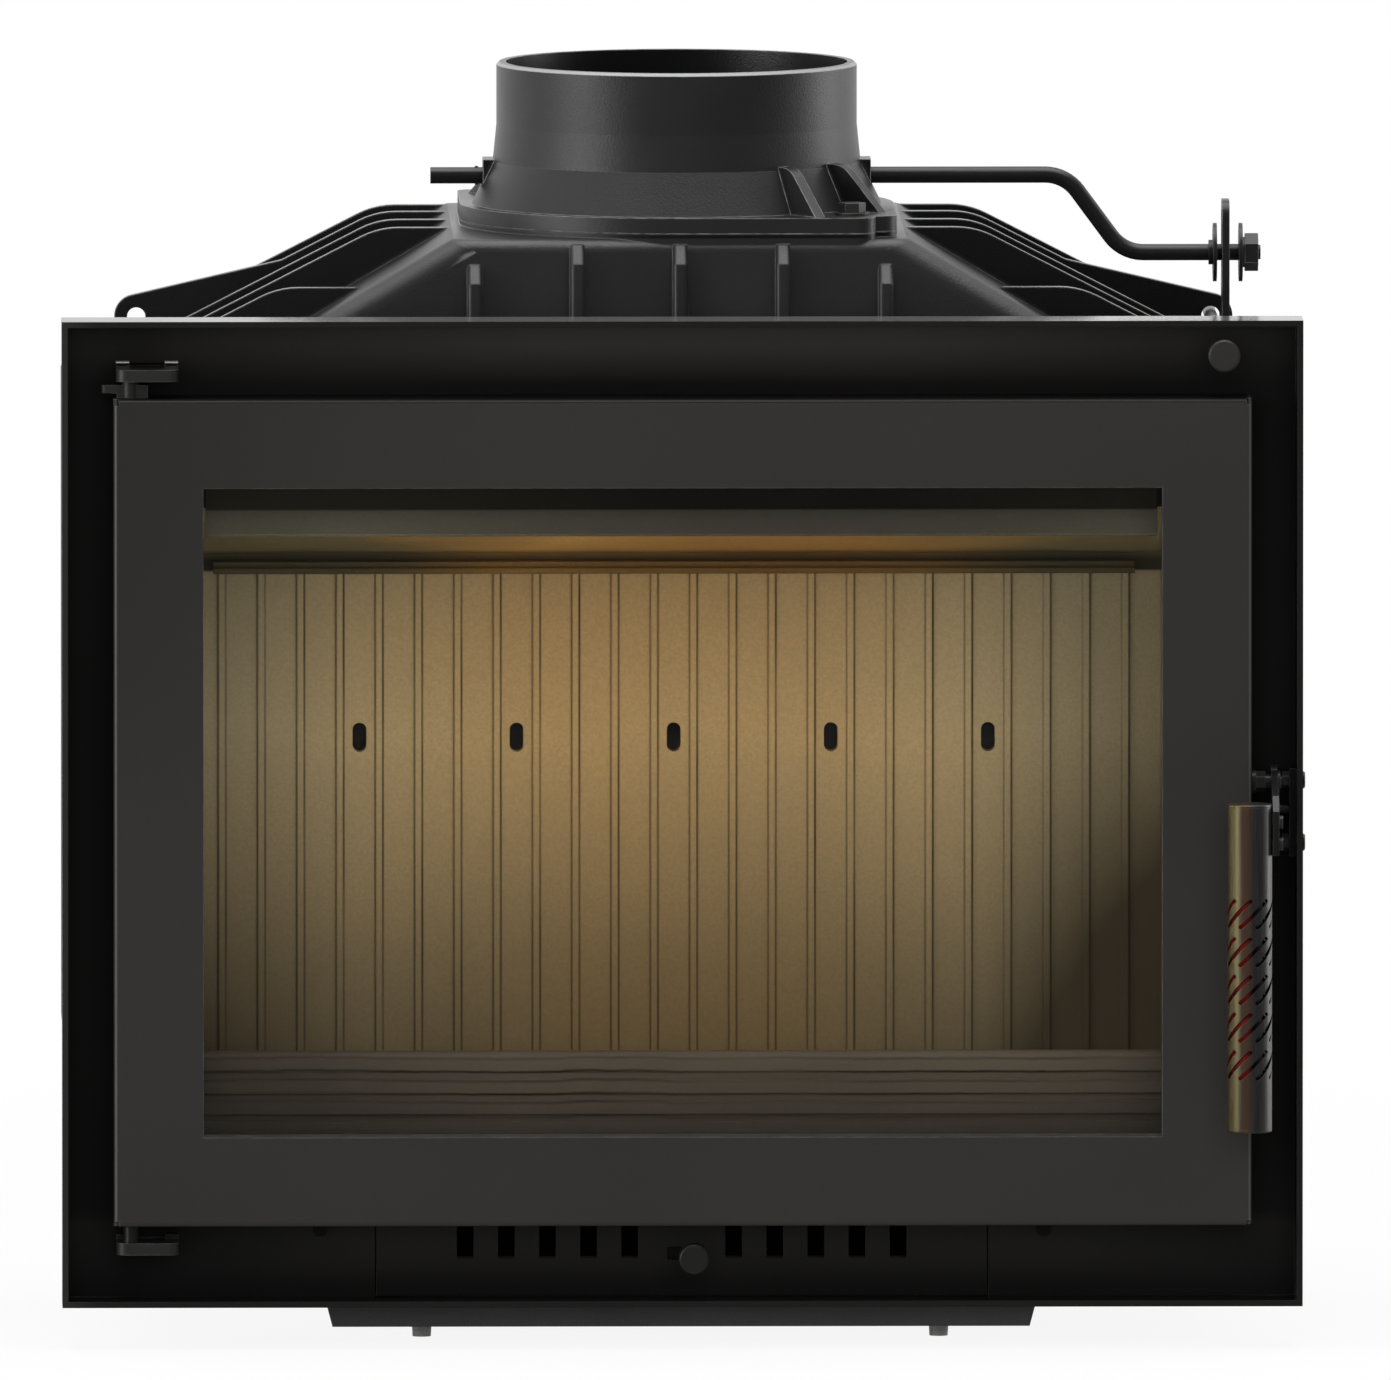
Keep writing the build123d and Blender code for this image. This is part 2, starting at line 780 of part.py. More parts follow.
def front_frame():
    half = frame_side
    frame = block(-half, half, 0, rim_depth, frame_lift, frame_top)
    frame -= block(-half + rim_wall, half - rim_wall, -1, plate_front,
                   frame_lift + rim_wall, frame_top - rim_wall)
    opening = mouth_width / 2 + plate_lip
    frame -= block(-opening, opening, plate_front - 1, rim_depth + 1, mouth_sill - plate_lip,
                   mouth_top + plate_lip)
    frame -= block(-drawer_width / 2, drawer_width / 2, plate_front - 1, rim_depth + 1,
                   drawer_bottom - drawer_gap, drawer_top + drawer_gap)
    frame -= bar_y(pull_rod_radius + rod_hole_gap, pull_rod_reach, plate_front - 1, rim_depth + 1,
                   pull_rod_height)
    for z in wall_screw_heights:
        for side in (-1, 1):
            frame -= countersunk(side * wall_screw_reach, z, screw_clearance)
    for side in (-1, 1):
        frame -= bar_y(screw_hole, side * screw_boss_reach, plate_front - 1,
                       rim_depth + 1, screw_boss_height)
    for z in (keeper_bolt_low, keeper_bolt_high):
        frame -= bar_x(keeper_bolt_hole, half - rim_wall - 1, half + 1, keeper_bolt_depth, z)
    return frame


def countersunk(x, z, grow):
    """The tapered head and the shank of a countersunk screw from the front."""
    head = Cone(screw_radius + grow, 2 * screw_radius + grow, plate_thickness)
    head = Pos(x, plate_front + plate_thickness / 2, z) * Rot(90, 0, 0) * head
    return head + bar_y(screw_radius + grow, x, plate_front, inner_front + boss_length - 4, z)


def frame_screws():
    screws = []
    for side in (-1, 1):
        for z in wall_screw_heights:
            screws.append(countersunk(side * wall_screw_reach, z, 0))
        head = bar_y(1.5 * screw_radius, side * screw_boss_reach, plate_front - 2, plate_front,
                     screw_boss_height)
        shank = bar_y(screw_radius, side * screw_boss_reach, plate_front - 1, tray_front,
                      screw_boss_height)
        screws.append(head + shank)
    return screws


def wall_bolts():
    bolts = []
    for side in (-1, 1):
        for z in wall_screw_heights:
            x = side * wall_screw_reach
            head = hex_y(3.4 * screw_radius, x, body_back, body_back + 1.4 * screw_radius, z)
            bolts.append(head + bar_y(screw_radius, x, inner_back - boss_length + 4, body_back + 1, z))
    return bolts


def hood_screws():
    screws = []
    top = shoulder_height + iron_wall
    for x in hood_screw_places:
        head = bar_z(1.6 * hood_screw_radius, x, hood_screw_depth, top, top + 1.8 * hood_screw_radius)
        shank = bar_z(hood_screw_radius, x, hood_screw_depth, top - hood_screw_length, top + 1)
        screws.append(head + shank)
    return screws


# Flue collar

def flue_collar():
    bore = spigot_radius - spigot_wall
    base = hood_height + seat_thickness
    flange_top = base + flange_thickness
    land_foot = spigot_top - spigot_land
    skirt_radius = spigot_radius + skirt_spread
    section = face_xz([(bore, base), (skirt_radius, base), (skirt_radius, flange_top),
                       (spigot_radius + spigot_taper, skirt_top), (spigot_radius, land_foot),
                       (spigot_radius, spigot_top - spigot_chamfer),
                       (spigot_radius - spigot_chamfer, spigot_top), (bore, spigot_top)])
    collar = Pos(0, flue_depth, 0) * revolve(section, Axis.Z)
    flange = Pos(0, 0, base) * extrude(collar_outline(), flange_thickness)
    collar += flange - bar_z(bore, 0, flue_depth, base - 1, flange_top + 1)
    for side in (-1, 1):
        pad_x = sorted((side * (bore + 1), side * pad_reach))
        collar += block(*pad_x, flue_depth - pad_width / 2, flue_depth + pad_width / 2,
                        rod_height - pad_below, rod_height + pad_above)
    for turn in (0, 180):
        for lean in (-gusset_spread, gusset_spread):
            collar += Pos(0, flue_depth, 0) * Rot(0, 0, turn - 45 + lean) * gusset()
    for x, y in collar_bolt_places():
        collar -= bar_z(collar_bolt_radius + free_gap, x, y, base - 1, flange_top + 1)
    collar -= bar_x(rod_radius + running_gap, -pad_reach - 1, pad_reach + 1, flue_depth, rod_height)
    collar -= bar_z(bore, 0, flue_depth, base - 1, spigot_top + 1)
    return collar


def gusset():
    """A web beside a collar bolt, level at its top and then falling to the flange, lying along X."""
    foot = hood_height + seat_thickness + flange_thickness
    top = hood_height + gusset_rise
    end = flange_radius / cos(radians(45 - gusset_spread)) - gusset_margin
    root = spigot_radius - spigot_wall / 2
    crest = spigot_radius + gusset_crest
    web = face_xz([(root, foot - 1), (end, foot - 1), (end, foot), (crest, top), (root, top)])
    bend = web.vertices().sort_by_distance((crest, 0, top))[0]
    return slab_y(fillet(bend, gusset_bend_radius), -gusset_thickness / 2, gusset_thickness / 2)


def collar_bolts():
    bolts = []
    seat = hood_height + seat_thickness + flange_thickness + collar_washer_thickness
    for x, y in collar_bolt_places():
        head = hex_z(3.25 * collar_bolt_radius, x, y, seat, seat + 1.3 * collar_bolt_radius)
        shank = bar_z(collar_bolt_radius, x, y, hood_height - iron_wall - 2, seat + 1)
        bolts.append(head + shank)
    return bolts


def collar_washers():
    washers = []
    seat = hood_height + seat_thickness + flange_thickness
    for x, y in collar_bolt_places():
        disc = bar_z(2.4 * collar_bolt_radius, x, y, seat, seat + collar_washer_thickness)
        washers.append(disc - bar_z(collar_bolt_radius + washer_clearance, x, y, seat - 1, seat + 5))
    return washers


# Fire bed

def spacer_places():
    """Bosses that hold the fireback off the back wall."""
    low = mouth_sill + spacer_foot_lift
    high = rail_height - spacer_head_drop
    side = 2.5 * back_rib_pitch
    return [(x, z) for x in (-side, side) for z in (low, high)]


def fireback():
    half = liner_outer
    top = hearth_top + fireback_height
    plate = block(-half, half, fireback_front, fireback_back, hearth_top, top)
    first = -(fire_rib_count - 1) / 2
    for i in range(fire_rib_count):
        x = (first + i) * fire_rib_pitch
        plate += block(x - fire_rib_width / 2, x + fire_rib_width / 2, fireback_front - fire_rib_depth,
                       fireback_front + 1, hearth_top, rail_height - 1)
    for x, z in spacer_places():
        plate += bar_y(spacer_radius, x, fireback_back - 1, inner_back, z)
        plate -= bar_y(spacer_bolt_hole, x, inner_back - spacer_bolt_length, inner_back + 1, z)
    for i in range(air_hole_count):
        x = (i - (air_hole_count - 1) / 2) * air_hole_every * fire_rib_pitch
        hole = Plane.XZ * (Rot(0, 0, 90) * SlotOverall(air_hole_length, air_hole_width))
        hole = extrude(hole, fireback_thickness + fire_rib_depth + 2)
        plate -= Pos(x, fireback_back + 1, hearth_top + air_hole_lift) * hole
    return plate


def fireback_bolts():
    bolts = []
    for x, z in spacer_places():
        head = hex_y(3.25 * spacer_bolt_radius, x, body_back, body_back + 1.3 * spacer_bolt_radius, z)
        shank = bar_y(spacer_bolt_radius, x, inner_back - spacer_bolt_length + 3, body_back + 1, z)
        bolts.append(head + shank)
    return bolts


def baffle_underside(y):
    """Height of the baffle's sloping underside at a depth."""
    back_y = fireback_front - fire_rib_depth
    rail_top = rail_height + rail_thickness
    return rail_top + (baffle_front_height - rail_top) * (back_y - y) / (back_y - baffle_front)


def side_liner():
    back = fireback_front - fire_rib_depth - 0.5
    notch = baffle_front - liner_notch
    points = [(liner_front, deck_top), (back, deck_top), (back, baffle_underside(back)),
              (notch, baffle_underside(notch)), (liner_front, baffle_underside(notch))]
    return slab_x(points, liner_inner, liner_outer)


def baffle_plate():
    back = fireback_front - fire_rib_depth
    low_front = baffle_underside(baffle_front)
    low_back = baffle_underside(back)
    points = [(back, low_back), (baffle_front, low_front), (baffle_front, low_front + baffle_thickness),
              (back, low_back + baffle_thickness)]
    return slab_x(points, -liner_outer, liner_outer)


def baffle_rail():
    half = body_side - rail_end_gap
    rail = block(-half, half, fireback_front - rail_depth, fireback_front - fire_rib_depth, rail_height,
                 rail_height + rail_thickness)
    lip = block(-half, half, fireback_front - rail_depth - 3, fireback_front - rail_depth + 1,
                rail_height, rail_height + rail_thickness / 2)
    return rail + lip


def hearth_plate():
    half = liner_inner - 0.5
    grate_back = grate_front + grate_depth
    plate = block(-half, half, inner_front + 0.5, inner_back - 4, deck_top, hearth_top)
    plate -= block(-grate_width / 2 - grate_gap, grate_width / 2 + grate_gap, grate_front - grate_gap,
                   grate_back + grate_gap, deck_top - 1, hearth_top + 1)
    return plate


def grate():
    half = grate_width / 2
    grate_back = grate_front + grate_depth
    plate = block(-half, half, grate_front, grate_back, deck_top, deck_top + grate_thickness)
    pitch = grate_slot + grate_bar
    count = int((grate_width - grate_bar) / pitch)
    for i in range(count):
        x = (i - (count - 1) / 2) * pitch
        slot = Pos(x, grate_front + grate_depth / 2, 0) * Rot(0, 0, 90) * SlotOverall(
            grate_depth - 3 * grate_bar, grate_slot)
        plate -= Pos(0, 0, deck_top - 1) * extrude(slot, grate_thickness + 2)
    return plate


def log_retainer():
    half = body_side - retainer_end_gap
    back = retainer_front + retainer_thickness
    fence = block(-half, half, retainer_front, back, hearth_top, retainer_height)
    along = fence.edges().filter_by(Axis.X)
    top_edge = [edge for edge in along if edge.center().Z > retainer_height - 1]
    fence = fillet(top_edge, retainer_thickness * 0.4)
    for drop in retainer_groove_drops:
        z = retainer_height - drop
        fence -= block(-half - 1, half + 1, retainer_front - 1, retainer_front + retainer_groove,
                       z - retainer_groove, z + retainer_groove)
    return fence


def air_deflector():
    sheet = deflector_sheet
    back = inner_front + sheet
    fall = deflector_top - deflector_bottom
    top = mouth_top + deflector_flange
    points = [(inner_front, top), (back, top), (back, deflector_top), (back - fall, deflector_bottom),
              (back - fall - deflector_edge, deflector_bottom + deflector_edge),
              (inner_front, deflector_top + deflector_bend)]
    half = mouth_width / 2 - deflector_side_gap
    return slab_x(points, -half, half)


# Door

def window_block(grow, y0, y1):
    """The window's own rectangle, larger all round by grow."""
    half = window_width / 2 + grow
    return block(-half, half, y0, y1, window_lift - grow, window_top + grow)


def door_block(shrink, y0, y1):
    """The door's own rectangle, smaller all round by shrink."""
    half = door_width / 2 - shrink
    return block(-half, half, y0, y1, door_lift + shrink, door_top - shrink)


def door_frame():
    outer = door_block(0, door_front, door_back)
    front_edges = outer.faces().sort_by(Axis.Y)[0].edges()
    frame = fillet(front_edges, door_edge_radius)
    frame -= door_block(door_sheet, door_front + door_sheet, door_back + 1)
    frame += window_block(door_sheet, door_front + 1, tape_front)
    frame += window_block(tape_width, tape_front - door_sheet, tape_front)
    for x, z in post_places():
        frame += bar_y(post_radius, x, door_front + 1, glass_back, z)
        frame -= bar_y(backing_screw_hole, x, glass_back - 10, glass_back + 1, z)
    frame -= window_block(0, door_front - 1, door_back + 1)
    for x in (-door_width / 2, door_width / 2 - corner_notch):
        for z in (door_lift, door_top - corner_notch):
            frame -= block(x, x + corner_notch, door_front - 1, door_front + 3 * corner_notch,
                           z, z + corner_notch)
    frame -= bar_z(hinge_pin_radius + running_gap, -hinge_reach, hinge_depth, door_lift - 1, door_top + 1)
    return frame


def post_places():
    """Posts inside the door's channel that the backing frame is screwed to."""
    half = door_width / 2 - door_sheet - post_radius - post_margin
    middle = (window_lift + window_top) / 2
    upper = (window_top + glass_overlap + door_top - door_sheet) / 2
    lower = (window_lift - glass_overlap + door_lift + door_sheet) / 2
    places = []
    for side in (-1, 1):
        for step in (-1, 0, 1):
            places.append((side * half, middle + step * post_pitch_up))
        for z in (lower, upper):
            places.append((side * post_pitch_along, z))
    return places


def glass_tape():
    tape = window_block(tape_width, tape_front, glass_front)
    return tape - window_block(tape_clearance, tape_front - 1, glass_front + 1)


def door_glass():
    return window_block(glass_overlap, glass_front, glass_back)


def backing_frame():
    frame = door_block(door_sheet + free_gap, glass_back, backing_back)
    frame -= window_block(backing_lip, glass_back - 1, backing_back + 1)
    for x, z in post_places():
        frame -= bar_y(backing_screw_radius + washer_clearance, x, glass_back - 1, backing_back + 1, z)
    return frame


def backing_screws():
    screws = []
    for x, z in post_places():
        head = bar_y(2 * backing_screw_radius, x, backing_back, backing_back + backing_screw_radius, z)
        screws.append(head + bar_y(backing_screw_radius, x, glass_back - 9, backing_back + 1, z))
    return screws


def door_seal():
    seal = window_block(seal_inset + seal_width, backing_back, plate_front - free_gap)
    seal -= window_block(seal_inset, backing_back - 1, plate_front + 1)
    return seal


# Hinges

def hinge_bracket(height):
    """A horizontal plate welded to the front plate, with two upstands at its back."""
    tip = hinge_depth - bracket_width / 2 + 2
    inner = bracket_width - bracket_outer
    top = height + bracket_thickness
    plate = block(-bracket_outer, inner, tip, plate_front, height, height + bracket_thickness)
    corners = [edge for edge in plate.edges().filter_by(Axis.Z) if edge.center().Y < tip + 1]
    plate = fillet(corners, upstand_width * 0.8)
    for x in (-bracket_outer + upstand_width / 2, inner - upstand_width / 2):
        plate += block(x - upstand_width / 2, x + upstand_width / 2, plate_front - upstand_width,
                       plate_front, top - 1, top + upstand_height)
    return plate - bar_z(hinge_pin_radius + tight_gap, -hinge_reach, hinge_depth, height - 1, top + 1)


def upper_hinge_pin():
    top = upper_bracket_height + bracket_thickness
    return bar_z(hinge_pin_radius, -hinge_reach, hinge_depth, door_top - upper_pin_length, top)


def lower_hinge_pin():
    seat = lower_bracket_height + bracket_thickness
    pin = bar_z(hinge_pin_radius, -hinge_reach, hinge_depth, lower_bracket_height,
                door_lift + lower_pin_length)
    return pin + bar_z(bush_radius, -hinge_reach, hinge_depth, seat, door_lift - free_gap)


def hinge_strip():
    """The strip on the door's top corner, with the bush that turns on the upper pin."""
    half = strip_depth / 2
    strip = block(-strip_outer, -strip_inner, hinge_depth - half, hinge_depth + half, strip_height,
                  strip_height + strip_thickness)
    outer = [edge for edge in strip.edges().filter_by(Axis.Z) if edge.center().X < -strip_outer + 1]
    strip = fillet(outer, half * 0.7)
    strip += block(-door_width / 2 + 2, -strip_inner, hinge_depth - half, hinge_depth + half,
                   door_top, strip_height + 1)
    bush_top = upper_bracket_height - free_gap
    strip += bar_z(strip_bush_radius, -hinge_reach, hinge_depth, door_top, bush_top)
    return strip - bar_z(hinge_pin_radius + running_gap, -hinge_reach, hinge_depth,
                         door_top - 1, strip_height + 2 * strip_thickness)


# Latch

def latch_pivot_bolt():
    side = door_width / 2
    bolt = bar_x(1.6 * pivot_radius, side, side + pivot_collar, pivot_depth, pivot_height)
    bolt += hex_x(2.5 * pivot_radius, side + pivot_collar - 0.1, side + 3 * pivot_collar, pivot_depth,
                  pivot_height)
    end = lever_back + pivot_end
    return bolt + bar_x(pivot_radius, side + 2 * pivot_collar, end, pivot_depth, pivot_height)


def pivot_clip():
    x0 = lever_back + slot_gap
    clip = bar_x(1.5 * pivot_radius, x0, x0 + clip_thickness, pivot_depth, pivot_height)
    return clip - bar_x(pivot_radius, x0 - 1, x0 + 5, pivot_depth, pivot_height)


def latch_lever():
    x1 = lever_back
    hub = 2.25 * pivot_radius
    pin_foot = keeper_height - keeper_pin_radius - hook_gap
    hook_end = keeper_depth + 3 * keeper_pin_radius
    grip_back = handle_depth + handle_radius * 0.8
    grip_front = handle_depth - handle_radius * 0.4
    grip_low = handle_top - grip_length
    arm = slab_x([(pivot_depth + 2, pivot_height + hub),
                  (grip_front + lever_crown_depth, handle_top + lever_crown),
                  (grip_front, handle_top - lever_crown), (grip_front, grip_low), (grip_back, grip_low),
                  (grip_back + grip_lean, grip_low + grip_slope), (pivot_depth - hub, pin_foot - 2),
                  (pivot_depth + 2, pin_foot - 2)], lever_reach, x1)
    hook_foot = pin_foot - hook_height
    hook = slab_x([(pivot_depth - hub, pivot_height), (pivot_depth - hub, hook_foot + hook_chamfer),
                   (pivot_depth - hub + hook_chamfer, hook_foot), (hook_end - 3, hook_foot),
                   (hook_end, hook_foot + hook_chamfer), (hook_end, pin_foot),
                   (pivot_depth + hub - 2, pin_foot),
                   (pivot_depth + hub - 2, pivot_height)], lever_reach, x1)
    lever = arm + hook + bar_x(hub, lever_reach, x1, pivot_depth, pivot_height)
    lever -= bar_x(pivot_radius + running_gap, lever_reach - 1, x1 + 1, pivot_depth, pivot_height)
    for z in handle_screw_heights():
        lever -= bar_x(handle_screw_hole, lever_reach - 1, x1 + 1, handle_depth, z)
    return lever


def handle_screw_heights():
    """Two screws that hold the handle's core to the lever."""
    return [handle_top - drop for drop in handle_screw_drops]


def handle_tube():
    low = handle_bottom + cap_thickness
    high = handle_top - cap_thickness
    tube = bar_z(handle_radius, handle_reach, handle_depth, low, high)
    tube -= bar_z(handle_radius - handle_wall, handle_reach, handle_depth, low - 1, high + 1)
    slot = Plane.YZ * (Rot(0, 0, 45) * SlotOverall(slot_length, slot_width))
    slot = extrude(slot, handle_radius)
    cutters = []
    for row in range(slot_rows):
        for turn in range(slots_around):
            angle = slot_turn + 360 * turn / slots_around - 90
            place = Pos(handle_reach, handle_depth, slot_first + row * slot_pitch) * Rot(0, 0, angle)
            cutters.append(place * Pos(handle_radius / 2, 0, 0) * slot)
    tube -= cutters
    for z in handle_screw_heights():
        tube -= bar_x(handle_screw_hole, handle_reach,
                      handle_reach + 2 * handle_radius, handle_depth, z)
    return tube


def handle_caps():
    caps = []
    for end, inward in ((handle_bottom, 1), (handle_top, -1)):
        seat = end + inward * cap_thickness
        cap = bar_z(handle_radius, handle_reach, handle_depth, *sorted((end, seat)))
        circles = cap.edges().filter_by(GeomType.CIRCLE)
        rim = [edge for edge in circles if abs(edge.center().Z - end) < cap_thickness / 2]
        cap = fillet(rim, cap_thickness * 0.6)
        plug = sorted((end + inward, seat + inward * cap_plug))
        cap += bar_z(handle_radius - handle_wall - screw_clearance, handle_reach, handle_depth, *plug)
        caps.append(cap)
    return caps


def handle_core():
    inset = cap_thickness + cap_plug
    core = bar_z(core_radius, handle_reach, handle_depth, handle_bottom + inset, handle_top - inset)
    for z in handle_screw_heights():
        core -= bar_x(handle_screw_hole, handle_reach - 2,
                      handle_reach + 2 * handle_radius, handle_depth, z)
    return core


def handle_screws():
    x1 = lever_back
    screws = []
    for z in handle_screw_heights():
        head = bar_x(1.8 * handle_screw_radius, x1, x1 + handle_screw_radius, handle_depth, z)
        screws.append(head + bar_x(handle_screw_radius, handle_reach - 1, x1 + 1, handle_depth, z))
    return screws


def latch_keeper():
    inside = frame_side - rim_wall
    half = keeper_width / 2
    plate = block(inside - keeper_thickness, inside, keeper_bolt_depth - half, keeper_bolt_depth + half,
                  keeper_bolt_low - keeper_margin, keeper_bolt_high + keeper_margin)
    for z in (keeper_bolt_low, keeper_bolt_high):
        plate -= bar_x(keeper_bolt_hole, inside - 10, inside + 1, keeper_bolt_depth, z)
    return plate - bar_x(keeper_pin_radius + tight_gap, inside - 10, inside + 1, keeper_depth,
                         keeper_height)


def keeper_bolts():
    outside = frame_side
    inner_end = outside - rim_wall - keeper_thickness - keeper_nut_height - 1
    bolts = []
    for z in (keeper_bolt_low, keeper_bolt_high):
        shank = bar_x(keeper_bolt_radius, inner_end, outside + 0.5, keeper_bolt_depth, z)
        head = bar_x(1.9 * keeper_bolt_radius, outside, outside + keeper_head, keeper_bolt_depth, z)
        circles = head.edges().filter_by(GeomType.CIRCLE)
        rim = [edge for edge in circles if edge.center().X > outside + keeper_head / 2]
        bolts.append(fillet(rim, keeper_head * 0.75) + shank)
    return bolts


def keeper_nuts():
    face = frame_side - rim_wall - keeper_thickness
    nuts = []
    for z in (keeper_bolt_low, keeper_bolt_high):
        nut = hex_x(3.3 * keeper_bolt_radius, face - keeper_nut_height, face, keeper_bolt_depth, z)
        nut -= bar_x(keeper_bolt_hole, face - 2 * keeper_nut_height, face + 1, keeper_bolt_depth, z)
        nuts.append(nut)
    return nuts


def keeper_pin():
    inside = frame_side - rim_wall
    return bar_x(keeper_pin_radius, lever_reach - 2, inside, keeper_depth, keeper_height)


# Ash drawer and air shutter

def notch_places():
    """Middles of the air notches, left to right."""
    right = [notch_first + notch_pitch * i for i in range(notch_count)]
    return [-x for x in reversed(right)] + right


def drawer_front():
    half = drawer_width / 2 - drawer_gap
    panel = block(-half, half, plate_front, rim_depth, drawer_bottom, drawer_top)
    rail_bottom = notch_bottom - shutter_rail_drop
    ledge_back = rim_depth + shutter_thickness + shutter_rail
    panel += block(-shutter_half, shutter_half, rim_depth - 1, ledge_back, rail_bottom,
                   rail_bottom + shutter_rail_floor)
    panel += block(-shutter_half, shutter_half, ledge_back - shutter_rail_floor, ledge_back,
                   rail_bottom, rail_bottom + shutter_rail_height)
    for x in notch_places():
        panel -= block(x - notch_width / 2, x + notch_width / 2, plate_front - 1, rim_depth + 1,
                       notch_bottom, drawer_top + 1)
    reach = shutter_knob_reach
    half_slot = shutter_stem_radius + slot_gap
    panel -= block(reach - shutter_travel - half_slot, reach + half_slot, plate_front - 1, rim_depth + 1,
                   shutter_knob_height - half_slot, shutter_knob_height + half_slot)
    return panel


def ash_pan():
    front = rim_depth + shutter_thickness + shutter_rail
    half = pan_width / 2
    top = drawer_bottom + pan_height
    pan = block(-half, half, front, front + pan_depth, drawer_bottom, top)
    pan -= block(-half + pan_sheet, half - pan_sheet, front + pan_sheet, front + pan_depth - pan_sheet,
                 drawer_bottom + pan_sheet, top + 1)
    pan -= block(-half - 1, half + 1, front - 1, front + pan_sheet + 1, notch_bottom, top + 1)
    return pan


def shutter_plate():
    front = rim_depth + free_gap
    bottom = notch_bottom - shutter_foot_drop
    half = shutter_half - shutter_end_gap
    plate = block(-half, half, front, front + shutter_thickness, bottom, drawer_top)
    for x in notch_places():
        plate -= block(x - notch_width / 2, x + notch_width / 2, front - 1, front + shutter_thickness + 1,
                       notch_bottom, drawer_top + 1)
    return plate


def shutter_stem():
    return bar_y(shutter_stem_radius, shutter_knob_reach, shutter_knob_front + knob_length - knob_bore,
                 rim_depth + free_gap, shutter_knob_height)


def round_knob(radius, x, front, z, bore):
    """A knob with a rounded front, pushed on a stem from behind."""
    knob = bar_y(radius, x, front, front + knob_length, z)
    rim = [edge for edge in knob.edges().filter_by(GeomType.CIRCLE) if edge.center().Y < front + 1]
    knob = fillet(rim, knob_edge_radius)
    return knob - bar_y(bore, x, front + knob_length - knob_bore, front + knob_length + 1, z)


def shutter_knob():
    return round_knob(shutter_knob_radius, shutter_knob_reach, shutter_knob_front, shutter_knob_height,
                      shutter_stem_radius)


# Flue damper and its pull

def damper_disc():
    disc = Pos(0, flue_depth, rod_height) * Cylinder(disc_radius, disc_thickness)
    hub_half = (disc_radius ** 2 - disc_hub_radius ** 2) ** 0.5 - 4
    disc += bar_x(disc_hub_radius, -hub_half, hub_half, flue_depth, rod_height)
    disc -= bar_x(rod_radius + running_gap, -disc_radius - 1, disc_radius + 1, flue_depth, rod_height)
    for x in disc_screw_places():
        disc -= bar_z(disc_screw_hole, x, flue_depth, rod_height, rod_height + 2 * disc_hub_radius)
    return disc


def disc_screw_places():
    """Two set screws that hold the disc to its rod."""
    return [-disc_radius / 2, disc_radius / 2]


def disc_screws():
    screws = []
    for x in disc_screw_places():
        top = rod_height + disc_hub_radius
        shank = bar_z(disc_screw_radius, x, flue_depth, rod_height + rod_radius + running_gap, top + 1)
        screws.append(shank + hex_z(3.2 * disc_screw_radius, x, flue_depth, top, top + 3))
    return screws


def damper_rod():
    shoulder = outer_washer_reach - washer_thickness / 2
    path = Plane.XZ * FilletPolyline((-rod_left_reach, rod_height), (crank_start, rod_height),
                                     (crank_end, crank_height), (shoulder, crank_height),
                                     radius=crank_bend_radius)
    rod = sweep(Plane(path @ 0, z_dir=path % 0) * Circle(rod_radius), path)
    rod = Pos(0, flue_depth, 0) * rod
    rod += bar_x(rod_radius - rod_end_step, shoulder - 1, rod_right_reach, flue_depth, crank_height)
    return rod - bar_z(split_pin_hole, -split_pin_reach, flue_depth, split_pin_bottom, split_pin_top)


def rod_washers():
    washers = []
    end_radius = rod_radius - rod_end_step
    for x, bore in ((inner_washer_reach, rod_radius), (outer_washer_reach, end_radius)):
        half = washer_thickness / 2
        washer = bar_x(washer_radius, x - half, x + half, flue_depth, crank_height)
        if bore == rod_radius:
            washer += bar_x(1.5 * rod_radius, x - half - washer_hub_length, x, flue_depth, crank_height)
        washers.append(washer - bar_x(bore + tight_gap, x - 10, x + 10, flue_depth, crank_height))
    return washers


def rod_nut():
    x0 = outer_washer_reach + washer_thickness / 2
    seat = x0 + spring_washer
    nut = hex_x(nut_across, seat, seat + nut_thickness, flue_depth, crank_height)
    nut += bar_x(spring_washer_radius, x0, seat + 0.1, flue_depth, crank_height)
    bore = rod_radius - rod_end_step + tight_gap
    return nut - bar_x(bore, x0 - 1, rod_right_reach + 1, flue_depth, crank_height)


def rod_split_pin():
    pin = bar_z(split_pin_radius, -split_pin_reach, flue_depth, split_pin_bottom, split_pin_top - 1)
    eye = Torus(1.8 * split_pin_radius, 0.8 * split_pin_radius)
    eye = Pos(-split_pin_reach, flue_depth, split_pin_top) * Rot(90, 0, 0) * eye
    return pin + eye


def pull_rod():
    back = pull_knob_front + knob_length - knob_bore
    return bar_y(pull_rod_radius, pull_rod_reach, back, pull_rod_tail, pull_rod_height)


def pull_knob():
    return round_knob(pull_knob_radius, pull_rod_reach, pull_knob_front, pull_rod_height, pull_rod_radius)


